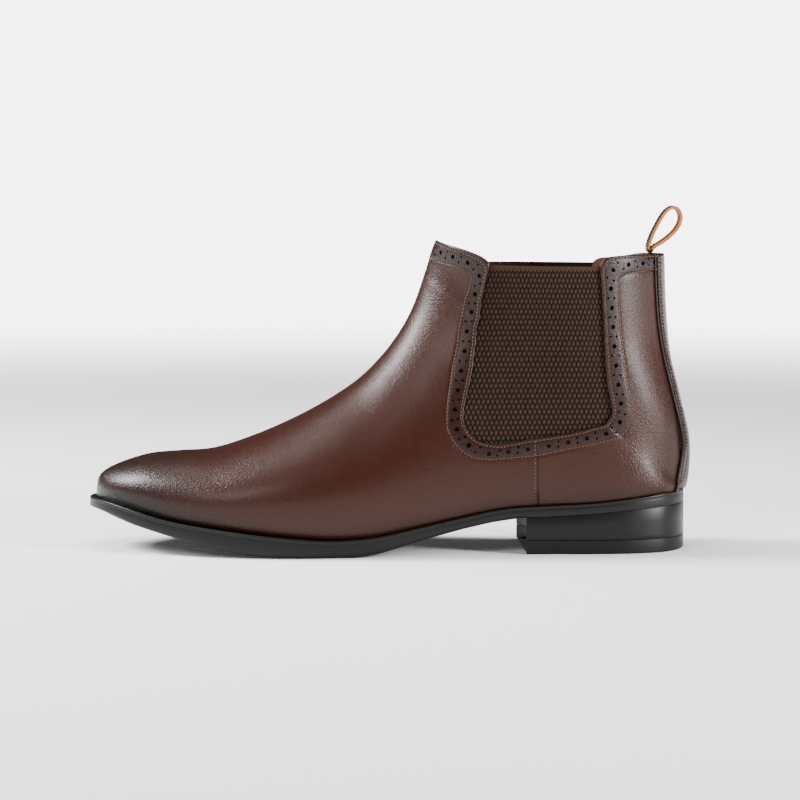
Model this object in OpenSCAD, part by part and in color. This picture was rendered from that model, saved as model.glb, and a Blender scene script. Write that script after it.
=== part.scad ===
// Chelsea boot, left foot: toe toward -X, outer side toward -Y, ground at z = 0.
// Every piece is its own closed solid; the shell pieces follow one foot-shaped surface.

/* [Size] */
// overall length over the sole
boot_length = 306; // [245:1:345]
// overall width over the sole at the ball
boot_width = 104; // [85:1:125]
// height of the front peak of the topline
shaft_height = 156; // [125:1:190]

/* [Leather and lining] */
// thickness of the outer leather
leather = 1.6; // [1.0:0.1:2.2]
// thickness of the layer between leather and lining
middle = 1; // [0.6:0.1:1.2]
// thickness of the lining leather
lining = 1; // [0.6:0.1:1.4]
// thickness of the back strip
strip = 1.2; // [0.8:0.1:1.8]
// diameter of the piping cord
piping_d = 1.7; // [1.2:0.1:2.4]

/* [Sole and heel] */
// thickness of the outsole at the ball
sole_t = 8.4; // [6.5:0.1:11]
// thickness of the rubber top lift
lift_t = 7; // [5:0.5:10]
// radius of the concave heel breast
breast_r = 60; // [45:1:90]
// thickness of the insole board
board_t = 2; // [1.5:0.1:3]
// thickness of the sock leather
sock_t = 1; // [0.6:0.1:1.6]
// diameter of the heel nail shafts
nail_d = 2; // [1.6:0.1:2.8]

/* [Pull loop] */
// width of the loop strap
loop_w = 12; // [8:0.5:18]
// thickness of the loop strap
loop_t = 1.8; // [1.2:0.1:2.4]
// height of the loop above its seam
loop_h = 24; // [18:1:32]

/* [Hidden] */
$fn = 48;

kx = boot_length/306;
ky = boot_width/99.5;
kz = shaft_height/156;
rise = sole_t - 8.4;
gap = 0.15;
d_mid = leather + gap;
d_lin = d_mid + middle + gap;
d_in = d_lin + lining;

// One row per section of the boot:
// ridge x, ridge z, lower x, lower z, widest lateral, widest medial, share of the way down
// at the widest, lower half width lateral, medial, side fullness, width of the sole rim
ST = [
  [-149.6, 29.5, -149.6, 25.0, 0, 0, 0.60, 0, 0, 0, 3.4],
  [-148.4, 34.9, -148.4, 25.0, 7.2, 7.2, 0.62, 6.7, 6.7, 0, 3.6],
  [-144.8, 38.6, -144.8, 24.6, 14.2, 14.2, 0.64, 13.2, 13.2, 0, 3.9],
  [-139.0, 41.6, -139.0, 23.7, 20.8, 20.8, 0.66, 19.3, 19.3, 0, 4.3],
  [-131.0, 44.6, -131.0, 21.9, 26.8, 26.7, 0.67, 24.8, 24.8, 0, 4.7],
  [-120.6, 47.3, -120.6, 19.2, 32.5, 32.5, 0.68, 30.2, 30.3, 0, 5.0],
  [-106.6, 48.6, -106.6, 16.4, 38.0, 38.2, 0.69, 35.5, 35.7, 0, 5.2],
  [-89.6, 50.0, -89.6, 14.2, 43.0, 43.2, 0.69, 40.4, 40.3, 0.01, 5.4],
  [-70.6, 56.0, -70.6, 12.0, 46.6, 46.4, 0.69, 43.8, 43.0, 0.02, 5.4],
  [-50.0, 64.8, -50.0, 9.9, 48.2, 46.4, 0.69, 45.0, 42.4, 0.04, 5.3],
  [-31.0, 75.0, -28.0, 8.5, 47.4, 44.4, 0.70, 43.8, 38.4, 0.05, 5.0],
  [-15.0, 86.0, -6.0, 9.8, 44.8, 41.8, 0.71, 40.8, 33.2, 0.06, 4.2],
  [-3.5, 97.6, 15.0, 14.0, 42.0, 39.2, 0.72, 37.2, 28.8, 0.05, 3.2],
  [3.5, 106.8, 36.0, 18.6, 39.4, 37.4, 0.72, 34.2, 26.8, 0.03, 2.5],
  [8.2, 114.4, 58.0, 22.9, 37.4, 36.2, 0.71, 32.2, 27.4, 0.01, 2.1],
  [11.8, 121.6, 80.0, 24.4, 36.0, 35.3, 0.69, 31.2, 29.2, 0, 1.9],
  [14.3, 128.0, 102.0, 25.6, 35.2, 34.8, 0.66, 31.2, 30.8, -0.01, 1.7],
  [16.0, 133.0, 122.0, 27.7, 34.8, 34.5, 0.63, 29.4, 29.4, -0.02, 1.5],
  [17.3, 137.0, 137.0, 29.2, 34.6, 34.3, 0.60, 23.6, 23.6, -0.03, 1.2],
  [18.4, 140.2, 146.4, 29.9, 34.5, 34.2, 0.58, 13.2, 13.2, -0.03, 0.8],
  [19.2, 142.8, 149.8, 30.6, 34.5, 34.2, 0.56, 0, 0, -0.03, 0.8],
  [19.9, 145.0, 151.5, 41.0, 34.6, 34.4, 0.55, 0, 0, -0.03, 0.8],
  [20.6, 147.2, 151.3, 56.5, 34.9, 34.7, 0.54, 0, 0, -0.03, 0.8],
  [21.5, 149.8, 146.8, 76.0, 35.5, 35.3, 0.53, 0, 0, -0.03, 0.8],
  [22.4, 152.2, 141.5, 98.0, 36.4, 36.2, 0.52, 0, 0, -0.03, 0.8],
  [23.2, 154.2, 139.1, 122.0, 37.4, 37.2, 0.51, 0, 0, -0.03, 0.8],
  [23.9, 156.0, 138.0, 149.2, 38.2, 38.0, 0.50, 0, 0, -0.03, 0.8]];
NS = len(ST);
u_back = 20;
u_top = NS - 1;

// Edges as seen from the side: x, z, and the station of the facing lower edge
FRONT_EDGE = [[39, 63.5, 14.2], [37.6, 67.5, 14.6], [37.2, 70.6, 15], [38, 76.4, 15.6],
  [39.6, 83, 16.4], [41.6, 92.5, 17.6], [43, 103.4, 19], [44.1, 114.4, 20.4],
  [45.9, 125.3, 22], [47.4, 132.5, 23.2], [48.6, 138.6, 24.2], [49.5, 142.4, 25],
  [49.2, 145, 25.4], [47.6, 147.1, 25.7], [45, 148.2, 26]];
UNDER_EDGE = [[39, 63.5, 14.25], [41.6, 59.6, 14.34], [46, 56.8, 14.42], [51.1, 56, 14.5],
  [58, 56.7, 14.56], [66, 57.7, 14.64], [74.2, 58.7, 14.72]];
REAR_EDGE = [[74.2, 58.7, 14.72], [80, 59.4, 15.2], [86.1, 60.3, 15.75], [93.5, 61.7, 16.35],
  [100.7, 63.3, 17], [105.4, 64.9, 17.7], [108.6, 66.7, 18.5], [110.4, 69.3, 19.3],
  [110.8, 72.8, 20], [109.9, 77.6, 20.8], [108.4, 85.2, 21.7], [107.6, 93.5, 22.5],
  [107.1, 102, 23.2], [106.6, 110.7, 23.8], [106.1, 119, 24.3], [105.6, 127.4, 24.8],
  [105, 136.2, 25.3], [104.6, 142.2, 25.6], [105.4, 145.4, 25.75], [107.4, 147.4, 25.9],
  [110.6, 148.4, 26]];
GORE_FRONT = [[41, 53], [34.5, 61], [31, 72], [32.6, 86], [35.4, 100], [37, 114], [39.8, 127],
  [42.6, 135], [44.6, 143.6]];
GORE_REAR = [[115, 60.6], [117.6, 67], [117.2, 77], [115.6, 90], [114.4, 102], [113, 114],
  [112, 126], [111.4, 135], [110.6, 143.4]];
STRIP_EDGE = [[143.2, 30.3, 20.04], [146.2, 36, 20.35], [148.4, 44, 20.8], [149, 52.6, 21.35],
  [147.6, 62, 21.9], [144.6, 74, 22.6], [141, 88, 23.3], [138, 101, 23.9], [136, 113.3, 24.5],
  [134.8, 126, 25.1], [134.2, 138, 25.55], [133.9, 149, 26]];

function mirrored(r) = [for (i = [0 : len(r) - 1]) (i == 4 || i == 5 || i == 7 || i == 8) ? -r[i] : r[i]];
function row(i) = i < 0 ? mirrored(ST[-i]) : i >= NS ? 2*ST[NS - 1] - ST[NS - 2] : ST[i];
function curve(a, b, c, d, t) =
  b + 0.5*t*(c - a) + t*t*(a - 2.5*b + 2*c - 0.5*d) + t*t*t*(1.5*b - 0.5*a - 1.5*c + 0.5*d);
function station(u) =
  let (i = min(max(floor(u), 0), NS - 2))
  curve(row(i - 1), row(i), row(i + 1), row(i + 2), u - i);
function drift(x) = x > -60 ? 0 : 6*pow((-60 - x)/90, 2);
function low_half(s, u, side) = u >= u_back ? 0 : max(0, side < 0 ? s[7] : s[8]);

// point of the outer surface: station u, a = 0 at the ridge, 1 at the widest, 2 at the lower end
function skin(u, a, side) =
  let (s = station(u), w = side < 0 ? s[4] : s[5], yl = low_half(s, u, side))
  let (t = 90*(a < 1 ? a : a - 1), f = s[9]*pow(sin(2*t), 2))
  let (g = a < 1 ? s[6]*(1 - cos(t)) : s[6] + (1 - s[6])*sin(t))
  let (y = a < 1 ? w*(sin(t) - f) : yl + (w - yl)*(cos(t) - f))
  let (x = s[0] + (s[2] - s[0])*g, z = s[1] + (s[3] - s[1])*g)
  [kx*x, ky*(side*y + drift(x)), kz*z + rise];
function unit(v) = v/norm(v);
// outward direction; it stays in the plane of symmetry on the ridge, toe tip and back
function outward(u, a, side) =
  let (e = 0.02, seam = a < 0.001 || u < 0.001 || (a > 1.999 && u >= u_back))
  let (am = (u < u_back && a > 1.72) ? 1.72 : min(max(a, 0.03), 1.97))
  let (um = min(max(u, 0.03), u_top - 0.03))
  let (q = seam ? -1 : side)
  let (du = skin(um + e, am, q) - skin(um - e, am, q))
  let (da = skin(um, am + e, q) - skin(um, am - e, q))
  let (n = unit(q*cross(du, da)))
  seam ? unit([n[0], 0, n[2]]) : n;
function layer(u, a, side, d) = skin(u, a, side) - d*outward(u, a, side);

// station and height share of a point given in the side view
function off_line(u, x, z) =
  let (s = station(u)) (s[2] - s[0])*(z - s[1]) - (s[3] - s[1])*(x - s[0]);
function find_u(x, z, lo = 0, hi = 26, n = 22) =
  let (m = (lo + hi)/2) n == 0 ? m :
  off_line(m, x, z) > 0 ? find_u(x, z, m, hi, n - 1) : find_u(x, z, lo, m, n - 1);
function find_a(u, x, z) =
  let (s = station(u), l = [s[2] - s[0], s[3] - s[1]])
  let (g = min(max((l*[x - s[0], z - s[1]])/(l*l), 0), 1))
  g < s[6] ? acos(1 - g/s[6])/90 : 1 + asin((g - s[6])/(1 - s[6]))/90;
function place(x, z) = let (u = find_u(x, z)) [u, find_a(u, x, z)];

// a strip of rows, each running from one (station, share) to another, laid between two depths
function cells(rows, m, side, d) =
  [for (r = rows) for (k = [0 : m]) let (q = along(r, k/m)) layer(q[0], q[1], side, d)];
// a row is two end points, or two ends and the point half way between them
function along(r, t) = len(r) == 2 ? r[0] + (r[1] - r[0])*t :
  (1 - t)*(1 - 2*t)*r[0] + t*(2*t - 1)*r[1] + 4*t*(1 - t)*r[2];
function tri(a, b, c, flip) = flip ? [a, c, b] : [a, b, c];
// walls = [at first row, at last row, at first column, last row that has a wall at the last column]
function sheet_faces(n, m, o, flip, walls) =
  let (w = m + 1, s = n*w)
  [for (i = [0 : n - 2]) for (k = [0 : m - 1]) for (q = [0, 1])
    let (p = o + i*w + k)
    q == 0 ? tri(p, p + w, p + w + 1, flip) : tri(p, p + w + 1, p + 1, flip),
   for (i = [0 : n - 2]) for (k = [0 : m - 1]) for (q = [0, 1])
    let (p = o + s + i*w + k)
    q == 0 ? tri(p, p + w + 1, p + w, flip) : tri(p, p + 1, p + w + 1, flip),
   for (k = [0 : m - 1]) for (q = [0, 1]) if (walls[0])
    let (p = o + k)
    q == 0 ? tri(p, p + 1, p + s, flip) : tri(p + 1, p + s + 1, p + s, flip),
   for (k = [0 : m - 1]) for (q = [0, 1]) if (walls[1])
    let (p = o + (n - 1)*w + k)
    q == 0 ? tri(p, p + s, p + 1, flip) : tri(p + 1, p + s, p + s + 1, flip),
   for (i = [0 : n - 2]) for (q = [0, 1]) if (walls[2])
    let (p = o + i*w)
    q == 0 ? tri(p, p + s, p + w, flip) : tri(p + w, p + s, p + s + w, flip),
   for (i = [0 : n - 2]) for (q = [0, 1]) if (i < walls[3])
    let (p = o + i*w + m)
    q == 0 ? tri(p, p + w, p + s, flip) : tri(p + w, p + s + w, p + s, flip)];

// blocks = list of [rows, columns, side, walls]; outer depth d0, inner depth d1
function block_size(b) = 2*len(b[0])*(b[1] + 1);
function start_of(blocks, i) = i == 0 ? 0 : start_of(blocks, i - 1) + block_size(blocks[i - 1]);
module shell(blocks, d0, d1) {
  points = [for (b = blocks) for (d = [d0, d1]) each cells(b[0], b[1], b[2], d)];
  faces = [for (i = [0 : len(blocks) - 1])
    let (b = blocks[i])
    each sheet_faces(len(b[0]), b[1], start_of(blocks, i), b[2] < 0, b[3])];
  polyhedron(points, faces, convexity = 12);
}

function to_ridge(edge, u0, u1) =
  [for (i = [0 : len(edge) - 1])
    [[u0 + (u1 - u0)*i/(len(edge) - 1), 0], place(edge[i][0], edge[i][1])]];
function to_foot(edge) = [for (e = edge) foot_row(place(e[0], e[1]), e, [e[2], 2])];
// rows ahead of the heel run straight in the side view, rows round the heel follow the sections
function foot_row(p, e, q) =
  let (s = station(e[2]), k = max(0, min(1, (17.4 - e[2])/1.4)))
  [p, q, (1 - k)*(p + q)/2 + k*place(0.46*e[0] + 0.54*s[2], 0.46*e[1] + 0.54*s[3])];

CORNER = place(FRONT_EDGE[0][0], FRONT_EDGE[0][1]);
fore_us = [for (i = [0 : 27]) CORNER[0]*i/27];
fore_upper = [for (u = fore_us) [[u, 0], [u, CORNER[1]]]];
fore_lower = [for (u = fore_us) [[u, CORNER[1]], [u, 2]]];
// the topline of the inner side sits a little lower than that of the outer side
function topline(edge, side) = side < 0 ? edge :
  [for (e = edge) [e[0], e[1] - 2.5*max(0, min(1, (e[1] - 137)/8)), e[2]]];
function neck_rows(side) = to_ridge(topline(FRONT_EDGE, side), CORNER[0], u_top);
under_rows = [for (i = [0 : len(UNDER_EDGE) - 1]) let (e = UNDER_EDGE[i])
  i == 0 ? [CORNER, [CORNER[0], 2]] :
  i == 1 ? [place(e[0], e[1]), [CORNER[0] + 0.1, 2]] :
  foot_row(place(e[0], e[1]), e, [e[2], 2])];
function rear_rows(side) = to_foot(topline(REAR_EDGE, side));
function front_blocks(side) = [
  [fore_upper, 8, side, [false, false, false, 0]],
  [fore_lower, 7, side, [false, false, false, 99]],
  [neck_rows(side), 8, side, [false, true, false, 99]],
  [under_rows, 7, side, [false, true, true, 99]]];
function rear_blocks(side) = [[rear_rows(side), 8, side, [true, true, true, 99]]];

// toe puff, interlining and counter lie between leather and lining
function rows_of(rows, i, j) = [for (k = [i : j]) rows[k]];
counter_rows = [for (r = rows_of(rear_rows(-1), 3, 12)) [along(r, 3/8), r[1], along(r, 11/16)]];

module vamp() color([0.36, 0.2, 0.15])
  shell(concat(front_blocks(-1), front_blocks(1)), 0, leather);
module lining_vamp() color([0.78, 0.5, 0.3])
  shell(concat(front_blocks(-1), front_blocks(1)), d_lin, d_in);
module quarter(side) color([0.4, 0.22, 0.16]) shell(rear_blocks(side), 0, leather);
module lining_quarter(side) color([0.8, 0.52, 0.32]) shell(rear_blocks(side), d_lin, d_in);

module toe_puff() color([0.9, 0.88, 0.8])
  shell([for (side = [-1, 1])
    each [[rows_of(fore_upper, 0, 11), 8, side, [false, true, false, 0]],
      [rows_of(fore_lower, 0, 11), 7, side, [false, true, false, 99]]]],
    d_mid, d_mid + middle);
module vamp_interlining() color([0.85, 0.82, 0.75])
  shell([for (side = [-1, 1]) [rows_of(fore_upper, 12, 22), 8, side, [true, true, false, 99]]],
    d_mid, d_mid + middle);
module heel_counter() color([0.86, 0.8, 0.7])
  shell([for (side = [-1, 1]) [counter_rows, 5, side, [true, true, true, 5]]],
    d_mid, d_mid + middle);

function gore_points(side, d) =
  [for (i = [0 : len(GORE_FRONT) - 1]) for (k = [0 : 18])
    let (q = GORE_FRONT[i] + (GORE_REAR[i] - GORE_FRONT[i])*k/18, p = place(q[0], q[1]))
    layer(p[0], p[1], side, d)];
module gore(side) color([0.24, 0.16, 0.13])
  polyhedron(concat(gore_points(side, d_mid + 0.16), gore_points(side, d_mid + middle - 0.05)),
    sheet_faces(len(GORE_FRONT), 18, 0, side > 0, [true, true, true, 99]), convexity = 8);

strip_rows = to_foot(STRIP_EDGE);
module back_strip() color([0.42, 0.26, 0.19])
  shell([for (side = [-1, 1]) [strip_rows, 4, side, [true, true, true, 0]]], -strip - 0.1, -0.1);

function tube_ring(c, ahead, out, r, n) =
  let (across = unit(cross(ahead, out)))
  [for (k = [0 : n - 1]) c + r*cos(360*k/n)*out + r*sin(360*k/n)*across];
module piping(side) color([0.12, 0.07, 0.06]) {
  us = [for (i = [0 : 2*len(STRIP_EDGE) - 2])
    let (e = (STRIP_EDGE[floor(i/2)] + STRIP_EDGE[ceil(i/2)])/2) place(e[0] - 1.4, e[1])];
  n = len(us);
  centres = [for (p = us) layer(p[0], p[1], side, -piping_d/2 - 0.18)];
  points = [for (i = [0 : n - 1])
    let (ahead = unit(centres[min(i + 1, n - 1)] - centres[max(i - 1, 0)]))
    let (out = outward(us[i][0], us[i][1], side))
    each tube_ring(centres[i], ahead, unit(out - (out*ahead)*ahead), piping_d/2, 8)];
  sides = [for (i = [0 : n - 2]) for (k = [0 : 7])
    [i*8 + k, i*8 + (k + 1)%8, (i + 1)*8 + (k + 1)%8, (i + 1)*8 + k]];
  ends = [[for (k = [7 : -1 : 0]) k], [for (k = [0 : 7]) (n - 1)*8 + k]];
  polyhedron(points, concat(sides, ends), convexity = 6);
}

// plan outline of the feather line moved outward by e, and side profiles of the bottom
function rim_point(u, side, e) =
  let (h = 0.04, s = station(u), v = u < 0.01)
  let (a = station(u - h), b = station(u + h))
  let (p = [kx*s[2], ky*(side*low_half(s, u, side) + drift(s[2]))])
  let (t = [kx*(b[2] - a[2]), ky*side*(low_half(b, min(u, 19.9), side) - low_half(a, min(u, 19.9), side))])
  let (n = (v || u > 19.99) ? [v ? -1 : 1, 0] : -side*unit([t[1], -t[0]]))
  p + n*e;
function rim_e(u, k, e) = k*station(u)[10] + e;
plan_us = [for (i = [0 : 40]) i/2];
function plan(k, e) = concat(
  [for (u = plan_us) rim_point(u, -1, rim_e(u, k, e))],
  [for (i = [39 : -1 : 1]) rim_point(plan_us[i], 1, rim_e(plan_us[i], k, e))]);
function foot_h(s) = kz*s[3] + rise;
function foot_line(dz, x0, x1) =
  [for (i = [0 : 60]) let (s = station(i/3)) if (s[2] > x0 && s[2] < x1) [kx*s[2], foot_h(s) + dz]];
SOLE_LOW = [[-160, 19.6], [-153.5, 18.8], [-146, 18], [-134, 15.6], [-122, 12.6], [-109, 9.4],
  [-96, 6.4], [-84, 3.8], [-73, 1.9], [-62, 0.7], [-50, 0.1], [-42, 0], [-16, 0], [-9, 0.7],
  [0, 2.8], [10, 5.6], [24, 9.6], [38, 13.2], [52, 16.2], [66, 18.2], [82, 19.1], [102, 20.2],
  [122, 22], [140, 23.4], [160, 24.6]];
sole_low = [for (p = SOLE_LOW) [kx*p[0], kz*p[1]]];
module along_y(w) { rotate([90, 0, 0]) translate([0, 0, -w/2]) linear_extrude(w) children(); }
module in_plan(k, e) { translate([0, 0, -10]) linear_extrude(80) polygon(plan(k, e)); }
function band_profile(lo, hi, x0, x1) =
  concat(foot_line(lo, x0, x1), [for (p = [len(foot_line(hi, x0, x1)) - 1 : -1 : 0]) foot_line(hi, x0, x1)[p]]);
function edge_up(dz) = let (f = foot_line(dz, -400, 400))
  concat([[f[0][0] - 12, f[0][1]]], f, [[f[len(f) - 1][0] + 12, f[len(f) - 1][1]]]);
module sole_body() {
  top = edge_up(-gap);
  intersection() {
    in_plan(1, 0);
    along_y(2*boot_width) polygon(concat(sole_low, [for (i = [len(top) - 1 : -1 : 0]) top[i]]));
  }
}

NAILS = [[88, -16], [88, 16], [106, -19], [106, 19], [124, -15], [124, 15], [135, 0]];
PINS = [[84, -20], [84, 20], [104, -23], [104, 23], [124, -20], [124, 20], [140, 0]];
RIVETS = [14, 88];
foot_table = [for (i = [0 : 200]) let (s = station(i/10)) [s[2], foot_h(s)]];
function foot_z(x) = lookup(x, foot_table);
module nail_shafts(d, z0, z1) {
  for (p = NAILS) translate([kx*p[0], ky*p[1], z0]) cylinder(h = z1 - z0, d = d, $fn = 24);
}
module nail_heads(d, low, high) {
  for (p = NAILS)
    translate([kx*p[0], ky*p[1], foot_z(p[0]) + board_t - low]) cylinder(h = low + high, d = d, $fn = 24);
}

module filler_shape(grow) {
  intersection() {
    in_plan(0, -11 + grow);
    along_y(2*boot_width) polygon(band_profile(-2.2 - grow, 0.05 + 3*grow, -136 - grow, -4 + grow));
  }
}
module shank_shape(grow) {
  intersection() {
    translate([kx*51, 0, 20]) cube([kx*92 + 2*grow, 14 + 2*grow, 60], center = true);
    along_y(2*boot_width) polygon(band_profile(-1.8 - grow, 0.02 + 3*grow, 2, 100));
  }
}
module outsole() color([0.13, 0.13, 0.12]) difference() {
  sole_body();
  filler_shape(0.1);
  shank_shape(0.1);
  nail_shafts(nail_d + 0.2, -1, 79);
  for (x = RIVETS) translate([kx*x, 0, foot_z(x) - 4.2]) cylinder(h = 20, d = 3.2, $fn = 24);
}
module cork_filler() color([0.72, 0.55, 0.38]) filler_shape(0);
module shank() color([0.7, 0.7, 0.72]) difference() {
  shank_shape(0);
  for (x = RIVETS) translate([kx*x, 0, 0]) cylinder(h = 80, d = 3.2, $fn = 24);
}
module shank_rivets() color([0.75, 0.72, 0.6])
  for (x = RIVETS) translate([kx*x, 0, foot_z(x) - 4]) cylinder(h = 4 - gap, d = 3, $fn = 24);

inset = d_in + 0.6;
module insole_board() color([0.72, 0.6, 0.45]) difference() {
  intersection() {
    in_plan(0, -inset);
    along_y(2*boot_width) polygon(band_profile(0.1, 0.1 + board_t, -147, 149));
  }
  nail_shafts(nail_d + 0.2, 0, 80);
  nail_heads(5.4, 1.2, 20);
}
module heel_nails() color([0.72, 0.7, 0.6]) for (p = NAILS) translate([kx*p[0], ky*p[1], 0]) {
  head = foot_z(p[0]) + board_t - 0.4;
  translate([0, 0, lift_t + 3]) cylinder(h = head - lift_t - 3.3, d = nail_d, $fn = 24);
  translate([0, 0, head - 0.7]) cylinder(h = 0.7, d = 4.8, $fn = 24);
}
module heel_outline(e, z0, z1) {
  difference() {
    translate([0, 0, z0]) linear_extrude(z1 - z0) polygon(plan(1, e));
    translate([kx*17.4, -ky*3.5, z0 - 1]) cylinder(h = z1 - z0 + 2, r = kx*breast_r, $fn = 96);
    translate([-kx*200, -200, z0 - 1]) cube([kx*220, 400, z1 - z0 + 2]);
  }
}
module heel_block() color([0.11, 0.11, 0.11]) difference() {
  intersection() {
    heel_outline(-0.2, lift_t + 0.1, kz*26);
    along_y(2*boot_width)
      polygon(concat([for (p = sole_low) [p[0], p[1] - 0.1]], [[kx*160, 0], [-kx*160, 0]]));
  }
  nail_shafts(nail_d + 0.2, lift_t + 2.6, lift_t + 62);
  for (p = PINS) translate([kx*p[0], ky*p[1], 0]) cylinder(h = lift_t + 6.2, d = 2, $fn = 24);
}
module top_lift() color([0.08, 0.08, 0.08]) difference() {
  heel_outline(0, 0, lift_t);
  for (p = PINS) translate([kx*p[0], ky*p[1], -1]) cylinder(h = lift_t + 4, d = 2, $fn = 24);
  for (p = PINS) translate([kx*p[0], ky*p[1], -1]) cylinder(h = 2.3, d = 3.8, $fn = 24);
}
module lift_pins() color([0.7, 0.68, 0.6]) for (p = PINS) translate([kx*p[0], ky*p[1], 0]) {
  translate([0, 0, 1]) cylinder(h = lift_t + 5, d = 1.8, $fn = 24);
  translate([0, 0, 0.5]) cylinder(h = 0.8, d = 3.6, $fn = 24);
}
function pad_top(x) = 3*max(0, min(1, (x - 62)/30));
module heel_pad() color([0.9, 0.86, 0.7]) intersection() {
  in_plan(0, -inset - 1.2);
  along_y(2*boot_width) polygon(concat(
    foot_line(0.2 + board_t, 62, 146),
    [for (i = [60 : -1 : 0]) let (s = station(i/3)) if (s[2] > 62 && s[2] < 146)
      [kx*s[2], foot_h(s) + 0.6 + board_t + pad_top(s[2])]]));
}
module sock_liner() color([0.8, 0.55, 0.35]) intersection() {
  in_plan(0, -inset - 0.6);
  along_y(2*boot_width) polygon(concat(
    [for (i = [0 : 60]) let (s = station(i/3)) if (s[2] > -146 && s[2] < 148)
      [kx*s[2], foot_h(s) + 0.75 + board_t + pad_top(s[2])]],
    [for (i = [60 : -1 : 0]) let (s = station(i/3)) if (s[2] > -146 && s[2] < 148)
      [kx*s[2], foot_h(s) + 0.75 + board_t + sock_t + pad_top(s[2])]]));
}

// pull loop: a strap bent to a leaning drop, turning about its seam at the back
hinge = [kx*138 - d_in - 0.4 - loop_t, kz*149.2 + rise + loop_t + 0.2];
DROP = [[-0.8, 0], [-0.8, 0.07], [-0.1, 0.2], [1.6, 0.4], [4.1, 0.63], [6.6, 0.83], [9, 0.95],
  [11.4, 1], [13.7, 0.96], [15.1, 0.84], [15.2, 0.69], [13.5, 0.5], [10, 0.32], [6.2, 0.18],
  [2.7, 0.08], [0.8, 0]];
drop_h = loop_h - 1.5*loop_t - 0.2;
function drop_at(i) = let (q = DROP[min(max(i, 0), len(DROP) - 1)]) [q[0], q[1]*drop_h];
drop_line = [for (i = [0 : len(DROP) - 2]) for (t = [0, 0.34, 0.67])
  curve(drop_at(i - 1), drop_at(i), drop_at(i + 1), drop_at(i + 2), t)];
function beside(l, i, e) =
  let (t = unit(l[min(i + 1, len(l) - 1)] - l[max(i - 1, 0)])) l[i] + e*[-t[1], t[0]];
last = len(drop_line) - 1;
loop_outside = concat(
  [for (i = [0 : last - 1]) beside(drop_line, i, loop_t/2)],
  [[0.4*loop_t, -0.3*loop_t], [-0.4*loop_t, -0.3*loop_t]]);
loop_inside = [for (i = [5 : last - 5]) beside(drop_line, i, -loop_t/2)];
module pull_loop() color([0.6, 0.38, 0.2])
  translate([hinge[0], 0, hinge[1]]) {
    along_y(loop_w) difference() {
      polygon(loop_outside);
      polygon(loop_inside);
    }
    rotate([90, 0, 0]) cylinder(r = loop_t, h = loop_w, center = true, $fn = 48);
  }
tail_us = [for (i = [0 : 6]) 25.05 + (u_top - 25.05)*i/6];
function tail_a(u) = find_share(u, ky*0.5*loop_w);
function find_share(u, half, lo = 1.2, hi = 2, n = 18) =
  let (m = (lo + hi)/2) n == 0 ? m :
  abs(skin(u, m, 1)[1]) > half ? find_share(u, half, m, hi, n - 1) : find_share(u, half, lo, m, n - 1);
module pull_loop_tail() color([0.62, 0.4, 0.22])
  shell([for (side = [-1, 1]) [[for (u = tail_us) [[u, tail_a(u)], [u, 2]]], 4, side,
    [true, true, true, 0]]], d_in + 0.1, d_in + 0.1 + 2*loop_t*0.8);

vamp();
quarter(-1);  // quarter_lateral
quarter(1);  // quarter_medial
gore(-1);  // gore_lateral
gore(1);  // gore_medial
back_strip();
piping(-1);  // piping_lateral
piping(1);  // piping_medial
lining_vamp();
lining_quarter(-1);  // lining_quarter_lateral
lining_quarter(1);  // lining_quarter_medial
toe_puff();
vamp_interlining();
heel_counter();
insole_board();
shank();
shank_rivets();
cork_filler();
heel_pad();
sock_liner();
outsole();
heel_block();
top_lift();
heel_nails();
lift_pins();
pull_loop();
pull_loop_tail();
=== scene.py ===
import math

import bmesh
import bpy
import numpy as np
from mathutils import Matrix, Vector
from mathutils.bvhtree import BVHTree


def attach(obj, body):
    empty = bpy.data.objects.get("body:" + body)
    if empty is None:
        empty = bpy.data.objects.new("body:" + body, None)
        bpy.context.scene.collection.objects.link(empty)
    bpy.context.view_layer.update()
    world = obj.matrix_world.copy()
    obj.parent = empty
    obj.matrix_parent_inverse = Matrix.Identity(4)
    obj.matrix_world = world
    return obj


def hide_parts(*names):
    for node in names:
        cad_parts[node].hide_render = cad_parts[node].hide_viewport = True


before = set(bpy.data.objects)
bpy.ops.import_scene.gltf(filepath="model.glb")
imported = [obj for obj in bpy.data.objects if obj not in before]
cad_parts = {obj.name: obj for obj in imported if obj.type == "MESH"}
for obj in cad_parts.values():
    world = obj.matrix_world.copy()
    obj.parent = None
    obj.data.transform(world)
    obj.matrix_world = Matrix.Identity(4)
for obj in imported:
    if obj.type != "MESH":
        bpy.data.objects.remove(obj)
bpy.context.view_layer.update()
MM = 0.001

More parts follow.
